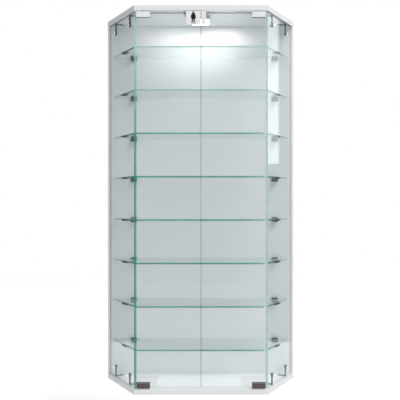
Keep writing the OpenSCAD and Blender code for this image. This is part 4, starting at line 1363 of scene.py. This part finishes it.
class CABINET_OT_panes(CabinetOperator, bpy.types.Operator):
    """Make the door panes, the side panes and the glass shelves"""

    bl_idname = "cabinet.panes"
    bl_label = "Panes"

    def execute(self, context):
        for make in (make_doors, make_side_panes, make_shelves):
            make(context.scene.cabinet_sizes)
        return {"FINISHED"}


class CABINET_OT_door_clamps(CabinetOperator, bpy.types.Operator):
    """Make the four door clamps"""

    bl_idname = "cabinet.door_clamps"
    bl_label = "Door clamps"

    def execute(self, context):
        make_door_clamps(context.scene.cabinet_sizes)
        return {"FINISHED"}


class CABINET_OT_lock(CabinetOperator, bpy.types.Operator):
    """Make the lock, its cam and the plate on the right door"""

    bl_idname = "cabinet.lock"
    bl_label = "Lock"

    def execute(self, context):
        make_lock(context.scene.cabinet_sizes)
        return {"FINISHED"}


class CABINET_OT_key(CabinetOperator, bpy.types.Operator):
    """Make the folding key and its ring"""

    bl_idname = "cabinet.key"
    bl_label = "Key"

    def execute(self, context):
        sizes = context.scene.cabinet_sizes
        pin = middle(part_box("key_pin"))
        make_key_blade(sizes, pin)
        make_key_bow(sizes, pin)
        make_key_ring(sizes)
        return {"FINISHED"}


class CABINET_OT_brackets(CabinetOperator, bpy.types.Operator):
    """Make the brackets of the side panes with their cap screws and nuts"""

    bl_idname = "cabinet.brackets"
    bl_label = "Side brackets"

    def execute(self, context):
        make_brackets(context.scene.cabinet_sizes)
        return {"FINISHED"}


class CABINET_OT_shelf_supports(CabinetOperator, bpy.types.Operator):
    """Make the rear clamps and the side rests of the shelves"""

    bl_idname = "cabinet.shelf_supports"
    bl_label = "Shelf supports"

    def execute(self, context):
        make_shelf_supports()
        return {"FINISHED"}


class CABINET_OT_catches(CabinetOperator, bpy.types.Operator):
    """Make the two magnetic catches"""

    bl_idname = "cabinet.catches"
    bl_label = "Catches"

    def execute(self, context):
        make_catches()
        return {"FINISHED"}


class CABINET_OT_lamp(CabinetOperator, bpy.types.Operator):
    """Make the lamp's housing and cover"""

    bl_idname = "cabinet.lamp"
    bl_label = "Lamp"

    def execute(self, context):
        make_lamp(context.scene.cabinet_sizes)
        return {"FINISHED"}


class CABINET_OT_hangers(CabinetOperator, bpy.types.Operator):
    """Make the wall hangers, the screw caps and the cord grommet"""

    bl_idname = "cabinet.hangers"
    bl_label = "Hangers and caps"

    def execute(self, context):
        make_hangers()
        make_caps_and_grommet()
        return {"FINISHED"}


class CABINET_OT_screws(CabinetOperator, bpy.types.Operator):
    """Make the cross-head screws and the set screws behind the panes"""

    bl_idname = "cabinet.screws"
    bl_label = "Screws"

    def execute(self, context):
        make_screws()
        return {"FINISHED"}


class CABINET_OT_node_finishes(CabinetOperator, bpy.types.Operator):
    """Give the nodes of the frame that still show their finishes"""

    bl_idname = "cabinet.node_finishes"
    bl_label = "Finishes of plain parts"

    def execute(self, context):
        finish_nodes()
        return {"FINISHED"}


OPERATORS = (
    CABINET_OT_studio,
    CABINET_OT_boards,
    CABINET_OT_panes,
    CABINET_OT_door_clamps,
    CABINET_OT_lock,
    CABINET_OT_key,
    CABINET_OT_brackets,
    CABINET_OT_shelf_supports,
    CABINET_OT_catches,
    CABINET_OT_lamp,
    CABINET_OT_hangers,
    CABINET_OT_screws,
    CABINET_OT_node_finishes,
)


class CABINET_PT_panel(bpy.types.Panel):
    """Lists the steps that dress the cabinet"""

    bl_idname = "CABINET_PT_panel"
    bl_label = "Display cabinet"
    bl_space_type = "VIEW_3D"
    bl_region_type = "UI"
    bl_category = "Cabinet"

    def draw(self, context):
        for operator in OPERATORS:
            self.layout.operator(operator.bl_idname)


GROUPS = {
    "cabinet_sizes": CabinetSizes,
    "cabinet_colours": CabinetColours,
    "cabinet_studio": StudioSettings,
}


def register():
    for cls in (*GROUPS.values(), *OPERATORS, CABINET_PT_panel):
        bpy.utils.register_class(cls)
    for name, group in GROUPS.items():
        setattr(bpy.types.Scene, name, bpy.props.PointerProperty(type=group))


def unregister():
    for name in GROUPS:
        delattr(bpy.types.Scene, name)
    for cls in (CABINET_PT_panel, *reversed(OPERATORS), *reversed(GROUPS.values())):
        bpy.utils.unregister_class(cls)


def main():
    register()
    for operator in OPERATORS:
        group, name = operator.bl_idname.split(".")
        getattr(getattr(bpy.ops, group), name)()


if __name__ == "__main__":
    main()
